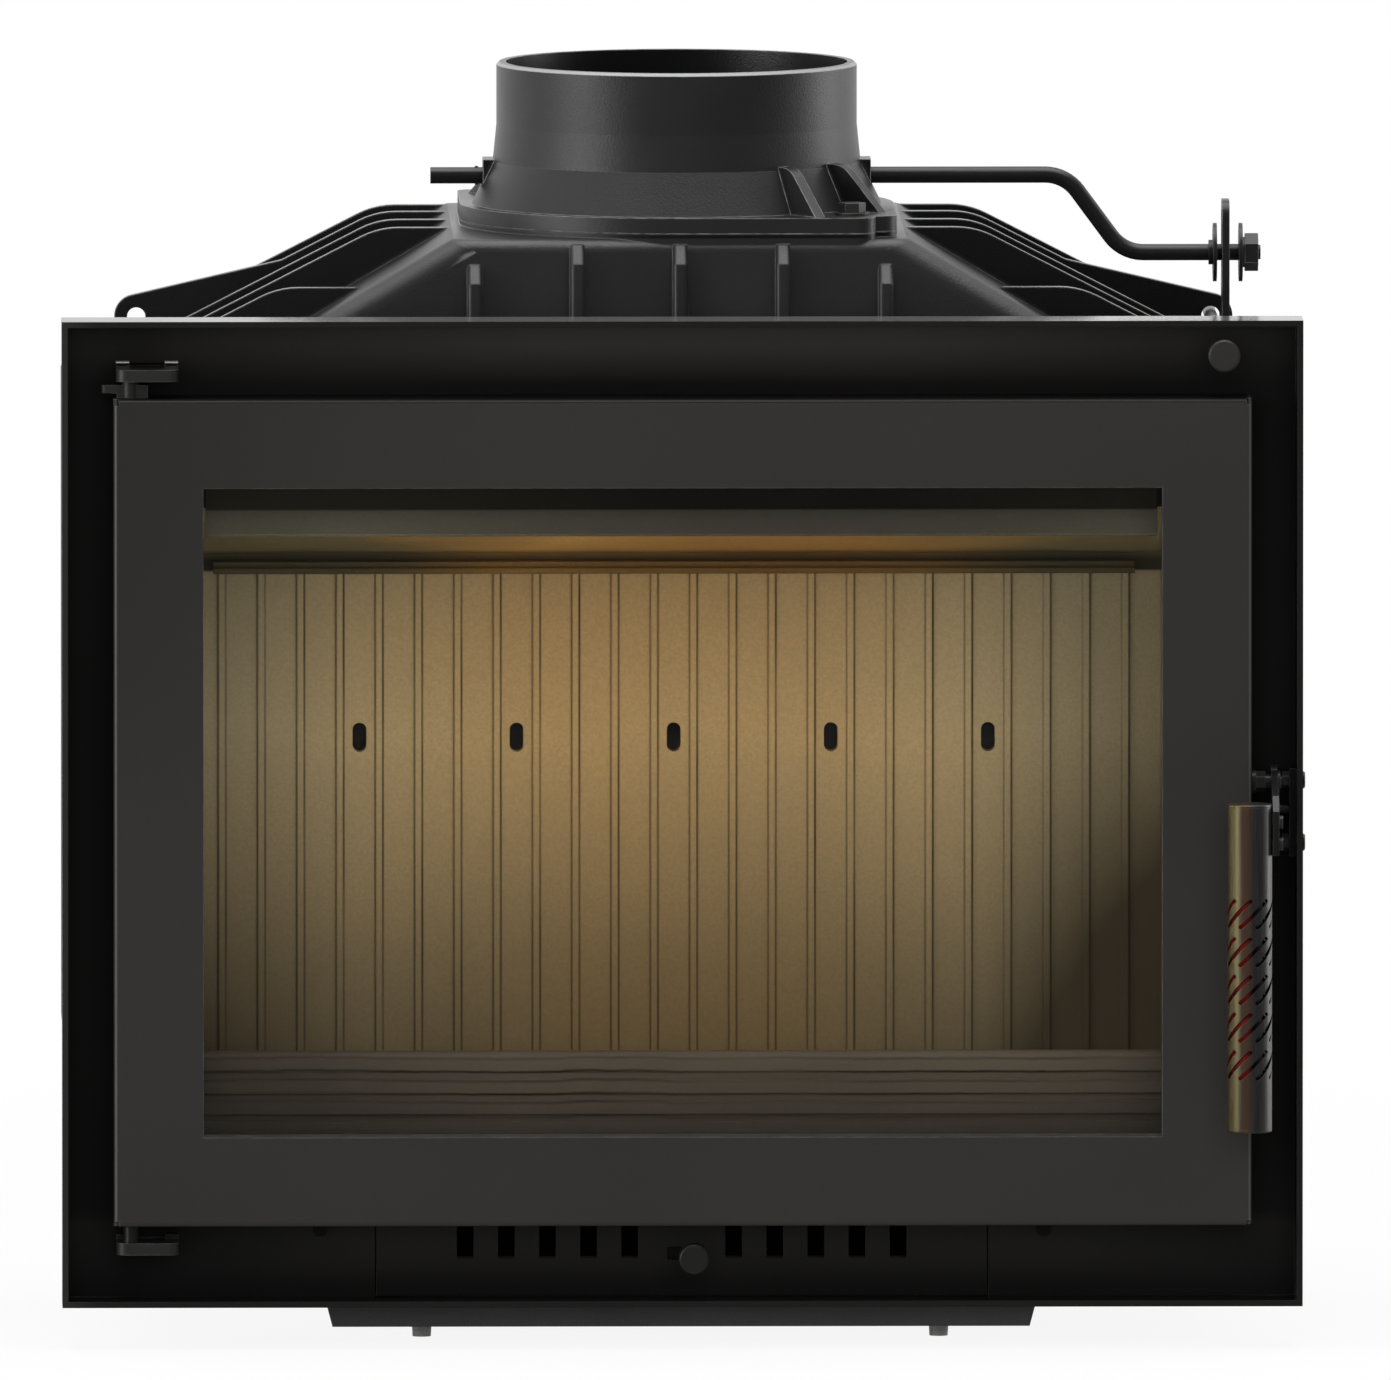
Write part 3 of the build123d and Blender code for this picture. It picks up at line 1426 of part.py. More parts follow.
def link_plate():
    x0 = pull_rod_reach + pull_rod_radius
    half = link_width / 2
    plate = block(x0, x0 + link_thickness, flue_depth - half, flue_depth + half, link_bottom, link_top)
    tops = [edge for edge in plate.edges().filter_by(Axis.X) if edge.center().Z > link_top - 1]
    plate = fillet(tops, half * 0.6)
    hub = 1.8 * pull_rod_radius
    plate += bar_y(hub, pull_rod_reach, flue_depth - half, flue_depth + half, pull_rod_height)
    error = abs(crank_drop * sin(open_angle) - pull_travel)
    slot_half = rod_radius + error + slot_gap
    lift = crank_drop * (1 - cos(open_angle))
    slot_foot = crank_height - rod_radius - slot_gap
    slot_head = crank_height + lift + rod_radius + slot_gap
    plate -= block(x0 - 1, x0 + link_thickness + 1, flue_depth - slot_half, flue_depth + slot_half,
                   slot_foot, slot_head)
    return plate - bar_y(pull_rod_radius + running_gap, pull_rod_reach, flue_depth - half - 1,
                         flue_depth + half + 1, pull_rod_height)


right_wall = side_wall()
right_liner = side_liner()
pieces = {
    "base_casting": base_casting(),
    "support_feet": support_feet(),
    "left_side_wall": mirrored(right_wall),
    "right_side_wall": right_wall,
    "back_wall": back_wall(),
    "front_casting": front_casting(),
    "hood_casting": hood_casting(),
    "hood_screws": hood_screws(),
    "front_frame": front_frame(),
    "frame_screws": frame_screws(),
    "wall_bolts": wall_bolts(),
    "flue_collar": flue_collar(),
    "collar_bolts": collar_bolts(),
    "collar_washers": collar_washers(),
    "fireback": fireback(),
    "fireback_bolts": fireback_bolts(),
    "left_liner": mirrored(right_liner),
    "right_liner": right_liner,
    "hearth_plate": hearth_plate(),
    "grate": grate(),
    "log_retainer": log_retainer(),
    "baffle_plate": baffle_plate(),
    "baffle_rail": baffle_rail(),
    "air_deflector": air_deflector(),
    "upper_hinge_bracket": hinge_bracket(upper_bracket_height),
    "lower_hinge_bracket": hinge_bracket(lower_bracket_height),
    "upper_hinge_pin": upper_hinge_pin(),
    "lower_hinge_pin": lower_hinge_pin(),
    "latch_keeper": latch_keeper(),
    "keeper_bolts": keeper_bolts(),
    "keeper_nuts": keeper_nuts(),
    "keeper_pin": keeper_pin(),
    "door_frame": door_frame(),
    "glass_tape": glass_tape(),
    "door_glass": door_glass(),
    "backing_frame": backing_frame(),
    "backing_screws": backing_screws(),
    "door_seal": door_seal(),
    "hinge_strip": hinge_strip(),
    "latch_pivot_bolt": latch_pivot_bolt(),
    "pivot_clip": pivot_clip(),
    "latch_lever": latch_lever(),
    "handle_tube": handle_tube(),
    "handle_core": handle_core(),
    "handle_caps": handle_caps(),
    "handle_screws": handle_screws(),
    "drawer_front": drawer_front(),
    "ash_pan": ash_pan(),
    "shutter_plate": shutter_plate(),
    "shutter_stem": shutter_stem(),
    "shutter_knob": shutter_knob(),
    "damper_disc": damper_disc(),
    "damper_rod": damper_rod(),
    "rod_washers": rod_washers(),
    "rod_nut": rod_nut(),
    "rod_split_pin": rod_split_pin(),
    "disc_screws": disc_screws(),
    "pull_rod": pull_rod(),
    "pull_knob": pull_knob(),
    "link_plate": link_plate(),
}
for name, shape in pieces.items():
    save(name, shape)
print("origin moved along Y by", round(centre_shift, 3))
print("pull of the damper rod", round(pull_travel, 3), "mm for", damper_open_angle, "degrees")
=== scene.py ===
import json
from math import cos, pi, radians, sin

import bmesh
import bpy
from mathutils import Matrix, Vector


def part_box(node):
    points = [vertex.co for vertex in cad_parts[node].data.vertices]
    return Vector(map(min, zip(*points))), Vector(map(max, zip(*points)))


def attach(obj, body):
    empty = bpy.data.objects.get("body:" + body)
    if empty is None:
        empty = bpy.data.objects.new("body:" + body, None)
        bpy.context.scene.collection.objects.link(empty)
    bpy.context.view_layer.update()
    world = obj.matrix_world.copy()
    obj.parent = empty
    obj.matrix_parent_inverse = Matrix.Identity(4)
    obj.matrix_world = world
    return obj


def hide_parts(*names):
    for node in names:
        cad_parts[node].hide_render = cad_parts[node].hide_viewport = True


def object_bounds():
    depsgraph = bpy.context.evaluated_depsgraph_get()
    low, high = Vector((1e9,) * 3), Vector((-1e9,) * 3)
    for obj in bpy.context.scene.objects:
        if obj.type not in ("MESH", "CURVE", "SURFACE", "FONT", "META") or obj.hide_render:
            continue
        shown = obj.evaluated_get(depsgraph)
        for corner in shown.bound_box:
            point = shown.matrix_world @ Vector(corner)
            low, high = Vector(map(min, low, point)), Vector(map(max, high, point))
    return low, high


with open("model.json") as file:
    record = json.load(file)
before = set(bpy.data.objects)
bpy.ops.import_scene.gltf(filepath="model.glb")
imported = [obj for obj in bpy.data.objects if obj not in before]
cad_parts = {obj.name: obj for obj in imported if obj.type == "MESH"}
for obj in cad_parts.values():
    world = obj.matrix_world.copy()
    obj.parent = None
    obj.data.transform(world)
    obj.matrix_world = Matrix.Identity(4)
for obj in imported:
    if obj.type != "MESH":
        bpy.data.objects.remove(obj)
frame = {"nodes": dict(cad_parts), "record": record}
nodes = frame["nodes"]
cad_low, cad_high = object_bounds()

# Lengths are in metres, angles in degrees, and colours in linear red, green and blue

# View of the photograph: almost level, from very far away
view_lift = 4.62
view_turn = -1.0
lens = 1650.0
sensor = 36.0
near_clip = 1.0
field_width = 0.7586
field_centre = Vector((0.0087, cad_low.y + 0.15, 0.3519))

# Studio
floor_radius = 1.7
floor_sides = 96
floor_fade = 0.75
floor_rim = 0.96
floor_whiteness = 0.90
front_floor = (-0.9, -0.6)
ambient = 0.35
front_backdrop = 0.06
backdrop_turn = (-0.4, 0.5)
front_sky = (-0.3, 0.0)

# Fireback and the rail over it
rib_pitch = 0.02154
rib_half = 0.0021
rib_depth = 0.003
rib_edge = 0.0006
rib_count = 26
plate_depth = 0.012
rail_foot = 0.4020
rail_head = 0.4086
rail_lip = 0.003
air_slots = (-2, -1, 0, 1, 2)
slot_pitch = 4 * rib_pitch
slot_middle = 0.311
slot_half = 0.008
slot_radius = 0.0038
slot_sides = 24
boss_places = ((-0.1875, 0.150), (0.1875, 0.150), (-0.1875, 0.380), (0.1875, 0.380))
boss_radius = 0.009
boss_sides = 32

# Pin through the damper rod
pin_radius = 0.001
pin_stand = 0.0007
pin_eye = 0.008
pin_round = 0.0004
pin_tip = 0.6
pin_sides = 20

# Braid of the door's rope seal
seal_width = 0.012
seal_corner = 0.016
seal_step = 0.0015
seal_sides = 20
strands = 4
plait_length = 0.009
plait_swell = 0.07

# Welds of the hinge brackets
bracket_thickness = 0.0065
weld_radius = 0.0016
weld_step = 0.0007
weld_sides = 10
weld_depth = 0.9
weld_ripple = 0.14
ripple_steps = 4.0
weld_end = 0.55

# Lengths over which one finish passes into the next
blend = 0.001
sharp_blend = 0.0003
hair = 0.0002

# Places on the castings and plates that their finishes follow
roof_run = 1.709
fins_from = 1.1515
hood_seat = 0.6003
bore_radius = 0.0940
skirt_levels = (0.6115, 0.635)
skirt_radii = (0.1135, 0.1020)
web_foot = 0.6125
lip_depth = 0.0015
lip_radius = 0.0970
tray_top = 0.0232
drawer_head = 0.066
rim_front = 0.0008
dark_line = 0.4546
slot_ends = 0.004

# Tones and thresholds that many finishes share
edge_samples = 6
flat_cosine = 0.995
worn_cosine = 0.86
mid_noise = (0.3, 0.7)
narrow_noise = (0.35, 0.65)
iron_grain = 700.0
rub_scale = 160.0
level_facing = (0.95, 0.999)
line_core = 0.35
rough_waver = (-0.04, 0.05)
edge_polish = 0.10
bump_strength = 0.7
# Near black of painted shade, on the hood's fins and the collar's gussets
painted_shade_black = 0.0035
firelight_colours = ((0.27, 0.235, 0.130), (0.62, 0.36, 0.115), (0.85, 0.52, 0.18))
streak_drops = ((0.0040, 0.4), (0.0112, 1.0), (0.0164, 0.7), (0.0235, 0.9), (0.0282, 0.6), (0.0362, 0.5))
streak_width = 0.0011
rib_line_width = 0.0009


# Node helpers

def plug(tree, socket, value):
    """Link another socket to this one, or set its value."""
    if isinstance(value, bpy.types.NodeSocket):
        tree.links.new(value, socket)
    else:
        socket.default_value = value


def add(tree, kind, inputs=None, **settings):
    """A node with its properties, and with its inputs by name or number."""
    node = tree.nodes.new(kind)
    for name, value in settings.items():
        setattr(node, name, value)
    for name, value in (inputs or {}).items():
        plug(tree, node.inputs[name], value)
    return node


def new_material(name):
    """An empty material with its output, and its node tree."""
    material = bpy.data.materials.new(name)
    material.use_nodes = True
    tree = material.node_tree
    tree.nodes.clear()
    output = tree.nodes.new("ShaderNodeOutputMaterial")
    return material, tree, output


def opaque(colour):
    return (*colour, 1.0)


def grey(tone):
    return (tone, tone, tone, 1.0)


def math_node(tree, operation, first, second=0.0, clamp=False):
    """One step of arithmetic on sockets or numbers."""
    return add(tree, "ShaderNodeMath", operation=operation, use_clamp=clamp,
               inputs={0: first, 1: second}).outputs[0]


def times(tree, first, second):
    return math_node(tree, "MULTIPLY", first, second)


def away(tree, value, place):
    """How far a value is from a place, on either side."""
    return math_node(tree, "ABSOLUTE", math_node(tree, "SUBTRACT", value, place))


def spread(tree, value, low, high, out_low=0.0, out_high=1.0):
    """A value moved from one range to another, and kept in it."""
    node = add(tree, "ShaderNodeMapRange", clamp=True, inputs={
        "Value": value, "From Min": low, "From Max": high, "To Min": out_low, "To Max": out_high})
    return node.outputs["Result"]


def mix_colour(tree, factor, first, second):
    """Two colours mixed by a factor."""
    node = add(tree, "ShaderNodeMix", data_type="RGBA")
    values = {"Factor_Float": factor, "A_Color": first, "B_Color": second}
    for socket in node.inputs:
        if socket.identifier in values:
            plug(tree, socket, values[socket.identifier])
    return next(socket for socket in node.outputs if socket.identifier == "Result_Color")


def place_of(tree):
    """Places on the object, as a vector and as x, y and z."""
    place = tree.nodes.new("ShaderNodeTexCoord").outputs["Object"]
    split = add(tree, "ShaderNodeSeparateXYZ", inputs={"Vector": place})
    return place, split.outputs["X"], split.outputs["Y"], split.outputs["Z"]


def length_of(tree, vector):
    return add(tree, "ShaderNodeVectorMath", operation="LENGTH", inputs={0: vector}).outputs["Value"]


def from_axis(tree, x, y, centre):
    """Distance from an upright axis through a point."""
    flat = add(tree, "ShaderNodeCombineXYZ", inputs={"X": math_node(tree, "SUBTRACT", x, centre.x),
                                                     "Y": math_node(tree, "SUBTRACT", y, centre.y)})
    return length_of(tree, flat.outputs[0])


def noise(tree, place, scale, detail=3.0, roughness=0.5, stretch=None):
    """Smooth noise, where scale is in cycles per metre."""
    if stretch:
        place = add(tree, "ShaderNodeMapping", inputs={"Vector": place, "Scale": stretch}).outputs[0]
    return add(tree, "ShaderNodeTexNoise", inputs={
        "Vector": place, "Scale": scale, "Detail": detail, "Roughness": roughness}).outputs["Fac"]


def rounded_normal(tree, radius):
    """The normal of edges rounded by a radius."""
    return add(tree, "ShaderNodeBevel", samples=edge_samples, inputs={"Radius": radius}).outputs["Normal"]


def worn_edge(tree, radius):
    """One on sharp edges and nought on flats, from the difference that a small bevel makes."""
    normal = tree.nodes.new("ShaderNodeNewGeometry").outputs["Normal"]
    cosine = add(tree, "ShaderNodeVectorMath", operation="DOT_PRODUCT",
                 inputs={0: rounded_normal(tree, radius), 1: normal}).outputs["Value"]
    return spread(tree, cosine, flat_cosine, worn_cosine)


def upward(tree):
    """How far the surface itself faces upwards."""
    normal = tree.nodes.new("ShaderNodeNewGeometry").outputs["True Normal"]
    return add(tree, "ShaderNodeSeparateXYZ", inputs={"Vector": normal}).outputs["Z"]


def lines_at(tree, value, places, width):
    """One on thin lines where a value passes the given places, and nought between them."""
    total = 0.0
    for place, strength in places:
        line = spread(tree, away(tree, value, place), width * line_core, width, strength, 0.0)
        total = math_node(tree, "ADD", total, line, clamp=True)
    return total


# Paints and bare metals

def finish_with(tree, output, colour, roughness, height, depth, radius, **inputs):
    """The shader of one surface: bump over rounded edges, and what else is given by name."""
    bump = add(tree, "ShaderNodeBump", inputs={"Strength": bump_strength, "Distance": depth, "Height": height,
                                               "Normal": rounded_normal(tree, radius)})
    values = {"Base Color": colour, "Roughness": roughness, "Normal": bump.outputs["Normal"]}
    values.update({name.replace("_", " "): value for name, value in inputs.items()})
    shader = add(tree, "ShaderNodeBsdfPrincipled", inputs=values)
    tree.links.new(shader.outputs[0], output.inputs["Surface"])


def coated_metal(name, dark, pale, rough, grain_scale, grain_depth, patch_scale=9.0, shine=0.4,
                 edge=None, edge_radius=0.0008, metallic=0.0, soften=0.0006, shade=None, top_rough=None):
    """Paint or bare metal in two tones, in soft patches under fine grain.

    Its edges turn to the edge colour, as wear and as painted highlight, and shade paints what differs from
    place to place.
    Level tops take the roughness top_rough.
    """
    material, tree, output = new_material(name)
    place, x, y, z = place_of(tree)
    patches = noise(tree, place, patch_scale, detail=4.0)
    grain = noise(tree, place, grain_scale, detail=2.0, roughness=0.6)
    tone = math_node(tree, "ADD", spread(tree, patches, *mid_noise, 0.0, 0.5),
                     spread(tree, grain, *mid_noise, 0.0, 0.5))
    colour = mix_colour(tree, tone, opaque(dark), opaque(pale))
    if shade:
        colour = shade(tree, colour, x, y, z)
    smoothest, roughest = (rough + waver for waver in rough_waver)
    roughness = spread(tree, patches, *mid_noise, smoothest, roughest)
    if top_rough:
        level = spread(tree, upward(tree), *level_facing, 0.0, rough - top_rough)
        roughness = math_node(tree, "SUBTRACT", roughness, level)
    if edge:
        # Edges turn paler, as wear and as a painted highlight
        uneven = spread(tree, noise(tree, place, rub_scale), *narrow_noise, 0.2, 1.0)
        rubbed_and_highlight = times(tree, worn_edge(tree, edge_radius), uneven)
        colour = mix_colour(tree, rubbed_and_highlight, colour, opaque(edge))
        roughness = math_node(tree, "SUBTRACT", roughness, times(tree, rubbed_and_highlight, edge_polish))
    finish_with(tree, output, colour, roughness, grain, grain_depth, soften, Metallic=metallic,
                Specular_IOR_Level=shine)
    return material


def cast_paint(name="cast_paint", shade=None, tone=1.0, soften=0.0014, edge=0.06, edge_radius=0.0012):
    """Matt black paint over fine cast grain, on the body's castings."""
    dark, pale = 0.0065 * tone, 0.0135 * tone
    return coated_metal(name, (dark, dark, dark), (pale, pale, pale), rough=0.40, grain_scale=1050.0,
                        grain_depth=0.00022, shine=0.5, edge=(edge, edge, edge), edge_radius=edge_radius,
                        soften=soften, shade=shade, top_rough=0.30)


def fins_shade_and_highlight(tree, colour, x, y, z):
    """Painted shade gives the fins out on the slopes a near black face, and painted highlights mark their top
    edges.

    Painted shade makes the seat under the collar black too.
    """
    slope = math_node(tree, "ADD", math_node(tree, "ABSOLUTE", x), times(tree, z, roof_run))
    out = spread(tree, slope, fins_from, fins_from + 2 * blend)
    upright = spread(tree, upward(tree), 0.25, 0.5, 1.0, 0.0)
    # Painted shade: near black on the fins' upright faces
    colour = mix_colour(tree, times(tree, out, upright), colour, grey(painted_shade_black))
    # Painted highlight on the fins' top edges
    crest_highlight = times(tree, out, math_node(tree, "SUBTRACT", 1.0, upright))
    colour = mix_colour(tree, times(tree, crest_highlight, 0.8), colour, grey(0.16))
    # Painted shade on the seat under the collar
    return mix_colour(tree, spread(tree, z, hood_seat, hood_seat + sharp_blend), colour, grey(0.0012))


def collar_shade_and_highlight(tree, colour, x, y, z):
    """Painted shade in the collar's bore and on its gussets' faces, and a painted highlight on its rim's lip.
    """
    low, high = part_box("flue_collar")
    radius = from_axis(tree, x, y, Vector((0.0, (low.y + high.y) / 2, 0.0)))
    # Painted shade inside the bore
    bore = spread(tree, radius, bore_radius + hair, bore_radius - hair)
    colour = mix_colour(tree, bore, colour, grey(0.0012))
    skirt = spread(tree, z, *skirt_levels, *skirt_radii)
    proud = math_node(tree, "SUBTRACT", radius, skirt)
    web = times(tree, spread(tree, proud, 0.0, blend), spread(tree, z, web_foot, web_foot + blend))
    web = times(tree, web, spread(tree, upward(tree), 0.15, 0.4, 1.0, 0.0))
    # Painted shade on the gussets' upright faces
    colour = mix_colour(tree, web, colour, grey(painted_shade_black))
    # Painted highlight on the lip of the rim
    lip = times(tree, spread(tree, z, high.z - lip_depth - hair, high.z - lip_depth + hair),
                spread(tree, radius, lip_radius - hair, lip_radius + hair))
    return mix_colour(tree, lip, colour, grey(0.26))


def tray_inside_shade(tree, colour, x, y, z):
    """The ash compartment is pale outside and low down, and painted shade makes it black inside the frame."""
    # Painted shade inside the frame, above the tray
    return mix_colour(tree, spread(tree, z, tray_top, tray_top + blend), colour, grey(0.0016))


def frame_paint(name="frame_paint", shade=None, edge=0.04):
    """Deep black heatproof paint on the surround."""
    return coated_metal(name, (0.0034, 0.0030, 0.0029), (0.0054, 0.0048, 0.0046), rough=0.36,
                        grain_scale=1400.0, grain_depth=0.00004, patch_scale=5.0, shine=0.22,
                        edge=(edge, edge, edge), shade=shade, top_rough=0.14)


def frame_painted_light(tree, colour, x, y, z):
    """Painted light under the middle of the surround's top and under the door, and painted highlights on its
    rim.
    """
    low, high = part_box("front_frame")
    across = away(tree, x, 0.02)
    # Painted light under the middle of the top
    glow = times(tree, spread(tree, z, high.z - 0.036, high.z - 0.006),
                 spread(tree, across, 0.10, 0.31, 1.0, 0.25))
    colour = mix_colour(tree, glow, colour, opaque((0.0290, 0.0275, 0.0250)))
    # Painted light low down under the door, on the drawer front too
    painted_light_under_door = times(tree, spread(tree, z, 0.034, drawer_head, 0.0, 0.85),
                       spread(tree, z, drawer_head, drawer_head + 0.006, 1.0, 0.0))
    painted_light_under_door = times(tree, painted_light_under_door, spread(tree, across, 0.19, 0.29, 1.0, 0.3))
    colour = mix_colour(tree, painted_light_under_door, colour, opaque((0.0160, 0.0150, 0.0135)))
    # Painted highlight along the rim's front edge, paler at the left
    rim = spread(tree, y, low.y + rim_front + blend, low.y + rim_front)
    rim_highlight_tone = mix_colour(tree, spread(tree, x, low.x + 0.004, low.x + 0.02),
                          opaque((0.0150, 0.0145, 0.0140)), opaque((0.0080, 0.0077, 0.0073)))
    colour = mix_colour(tree, rim, colour, rim_highlight_tone)
    # Painted highlight on the rim's top
    crest_highlight = times(tree, spread(tree, upward(tree), 0.9, 0.97),
                  spread(tree, z, high.z - 2 * blend, high.z - blend))
    return mix_colour(tree, crest_highlight, colour, opaque((0.120, 0.119, 0.118)))


def hinge_paint():
    """Graphite paint worn paler along the hinge plates' edges, with painted shade and painted highlights on
    their upstands.
    """
    low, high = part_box("upper_hinge_bracket")
    plate_top = low.z + bracket_thickness

    def upstand_shade_and_highlight(tree, colour, x, y, z):
        # Painted shade on the upstands' faces
        colour = mix_colour(tree, spread(tree, z, plate_top, plate_top + hair), colour, grey(0.0015))
        # Painted highlight on the upstands' tops
        crest_highlight = spread(tree, z, high.z - 0.0009, high.z - 0.0007)
        return mix_colour(tree, crest_highlight, colour, opaque((0.40, 0.40, 0.39)))
    return coated_metal("hinge_paint", (0.0120, 0.0115, 0.0112), (0.0160, 0.0155, 0.0150), rough=0.46,
                        grain_scale=1200.0, grain_depth=0.00006, shine=0.4, edge=(0.08, 0.08, 0.078),
                        edge_radius=0.0007, soften=0.0004, top_rough=0.30, shade=upstand_shade_and_highlight)


def door_paint(name="door_paint", shade=None):
    """Graphite paint with a very fine texture on the door."""
    return coated_metal(name, (0.0175, 0.0165, 0.0155), (0.0232, 0.0222, 0.0207), rough=0.50,
                        grain_scale=1500.0, grain_depth=0.00007, patch_scale=4.0, shine=0.28,
                        edge=(0.10, 0.10, 0.097), shade=shade)


def door_painted_light(tree, colour, x, y, z):
    """Painted shade in the door's upper left corner and on its top edge, and painted highlights along its two
    sides.
    """
    low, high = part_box("door_frame")
    half = (high.x - low.x) / 2
    side = away(tree, x, (low.x + high.x) / 2)
    # Painted shade in the upper left corner
    corner = times(tree, spread(tree, x, low.x, low.x + 0.22, 0.55, 0.0),
                   spread(tree, z, high.z - 0.25, high.z - 0.05))
    colour = mix_colour(tree, corner, colour, opaque((0.0095, 0.0090, 0.0090)))
    # Painted shade on the top edge
    shaded_head = spread(tree, z, high.z - 0.0022, high.z - 0.0014)
    colour = mix_colour(tree, shaded_head, colour, opaque((0.0030, 0.0029, 0.0028)))
    # Painted highlights along the two sides
    line = lines_at(tree, side, [(half - 0.0012, 0.75)], 0.0008)
    return mix_colour(tree, line, colour, opaque((0.060, 0.060, 0.058)))


def rod_paint(name="rod_paint", tone=1.0, edge=0.06):
    """Satin black on the rods, links and small steel parts."""
    dark, pale = 0.0045 * tone, 0.008 * tone
    return coated_metal(name, (dark, dark, dark), (pale, pale, pale), rough=0.36, grain_scale=900.0,
                        grain_depth=0.00006, shine=0.45, edge=(edge, edge, edge), soften=0.0004)


def fastener_steel():
    """Blackened steel of bolts, nuts and pins."""
    return coated_metal("fastener_steel", (0.012, 0.012, 0.012), (0.026, 0.026, 0.025), rough=0.36,
                        grain_scale=700.0, grain_depth=0.00008, metallic=0.3, shine=0.5,
                        edge=(0.16, 0.16, 0.155), edge_radius=0.0005)


def zinc_steel(name="zinc_steel", tone=1.0):
    """Dull grey steel of the feet and the inner plates."""
    dark, pale = 0.10 * tone, 0.17 * tone
    return coated_metal(name, (dark, dark, dark * 0.98), (pale, pale, pale * 0.98), rough=0.5,
                        grain_scale=400.0, grain_depth=0.0001, metallic=0.4, shine=0.5,
                        edge=(0.3, 0.3, 0.29), edge_radius=0.0005)


def knob_finish(name, dark, pale):
    """Dull dark nickel of the knobs."""
    return coated_metal(name, dark, pale, rough=0.42, grain_scale=900.0, grain_depth=0.00005, metallic=0.3,
                        shine=0.4, edge=(0.07, 0.07, 0.07), edge_radius=0.0006)


def deflector_steel():
    """The strip over the window: dull grey in front, near black up behind it, and painted shade darker in the
    middle.
    """
    def darker_middle_and_top(tree, colour, x, y, z):
        # Painted light on the ends, painted shade in the middle
        painted_lit_ends = spread(tree, away(tree, x, 0.06), 0.05, 0.25)
        middle = mix_colour(tree, 0.55, colour, opaque((0.030, 0.030, 0.031)))
        colour = mix_colour(tree, painted_lit_ends, middle, colour)
        # Near black above dark_line, olive towards the lighter ends
        darkening = mix_colour(tree, painted_lit_ends, opaque((0.0025, 0.0019, 0.0012)), opaque((0.0125, 0.0118, 0.0085)))
        return mix_colour(tree, spread(tree, z, dark_line, dark_line + blend), colour, darkening)
    return coated_metal("deflector_steel", (0.082, 0.080, 0.066), (0.108, 0.105, 0.090), rough=0.75,
                        grain_scale=500.0, grain_depth=0.00002, shine=0.05, shade=darker_middle_and_top)


def satin_tube():
    """Satin steel brushed along the tube, tinted by painted reflections of firelight, with painted red
    firelight in its slots.
    """
    material, tree, output = new_material("satin_tube")
    place, x, y, z = place_of(tree)
    low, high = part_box("handle_tube")
    across = spread(tree, x, low.x, high.x, -1.0, 1.0)
    lines = noise(tree, place, 900.0, roughness=0.6, stretch=(1.0, 1.0, 0.04))
    brushed = spread(tree, lines, *mid_noise)
    # Painted reflections of firelight, yellow and brown, on the side towards the fire
    firelight_straw = spread(tree, across, -0.25, -0.6)
    firelight_bronze = times(tree, spread(tree, across, -0.5, -0.25), spread(tree, across, 0.15, -0.1))
    steel = mix_colour(tree, brushed, opaque((0.055, 0.053, 0.051)), opaque((0.092, 0.090, 0.087)))
    firelight_gold = mix_colour(tree, brushed, opaque((0.100, 0.083, 0.038)), opaque((0.140, 0.116, 0.054)))
    colour = mix_colour(tree, firelight_straw, steel, firelight_gold)
    colour = mix_colour(tree, firelight_bronze, colour, opaque((0.150, 0.092, 0.062)))
    skin = (high.x - low.x) / 2 - hair
    within = spread(tree, from_axis(tree, x, y, (low + high) / 2), skin, skin - sharp_blend)
    within = times(tree, within, spread(tree, z, high.z - slot_ends, high.z - slot_ends - blend))
    within = times(tree, within, spread(tree, z, low.z + slot_ends, low.z + slot_ends + blend))
    # Painted red glow of firelight on the slot walls towards the fire, painted shade away from it
    slot_glow_and_shade = mix_colour(tree, spread(tree, across, -0.35, 0.15), opaque((0.34, 0.012, 0.008)),
                         opaque((0.004, 0.003, 0.003)))
    colour = mix_colour(tree, within, colour, slot_glow_and_shade)
    finish_with(tree, output, colour, roughness=spread(tree, lines, *mid_noise, 0.30, 0.40), height=lines,
                depth=0.00004, radius=0.0004, Metallic=0.85)
    return material


def core_red():
    """The handle's core: painted red firelight towards the fire, and painted shade near black away from it.
    """
    low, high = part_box("handle_core")
    width = high.x - low.x

    def glow_fading_to_shade(tree, colour, x, y, z):
        # Painted shade away from the fire, over the core's red glow
        outwards = spread(tree, x, low.x + 0.15 * width, low.x + 0.60 * width)
        return mix_colour(tree, outwards, colour, opaque((0.005, 0.002, 0.002)))
    return coated_metal("core_red", (0.22, 0.008, 0.005), (0.30, 0.014, 0.008), rough=0.5,
                        grain_scale=500.0, grain_depth=0.00004, shine=0.25, shade=glow_fading_to_shade)


# Iron round the fire

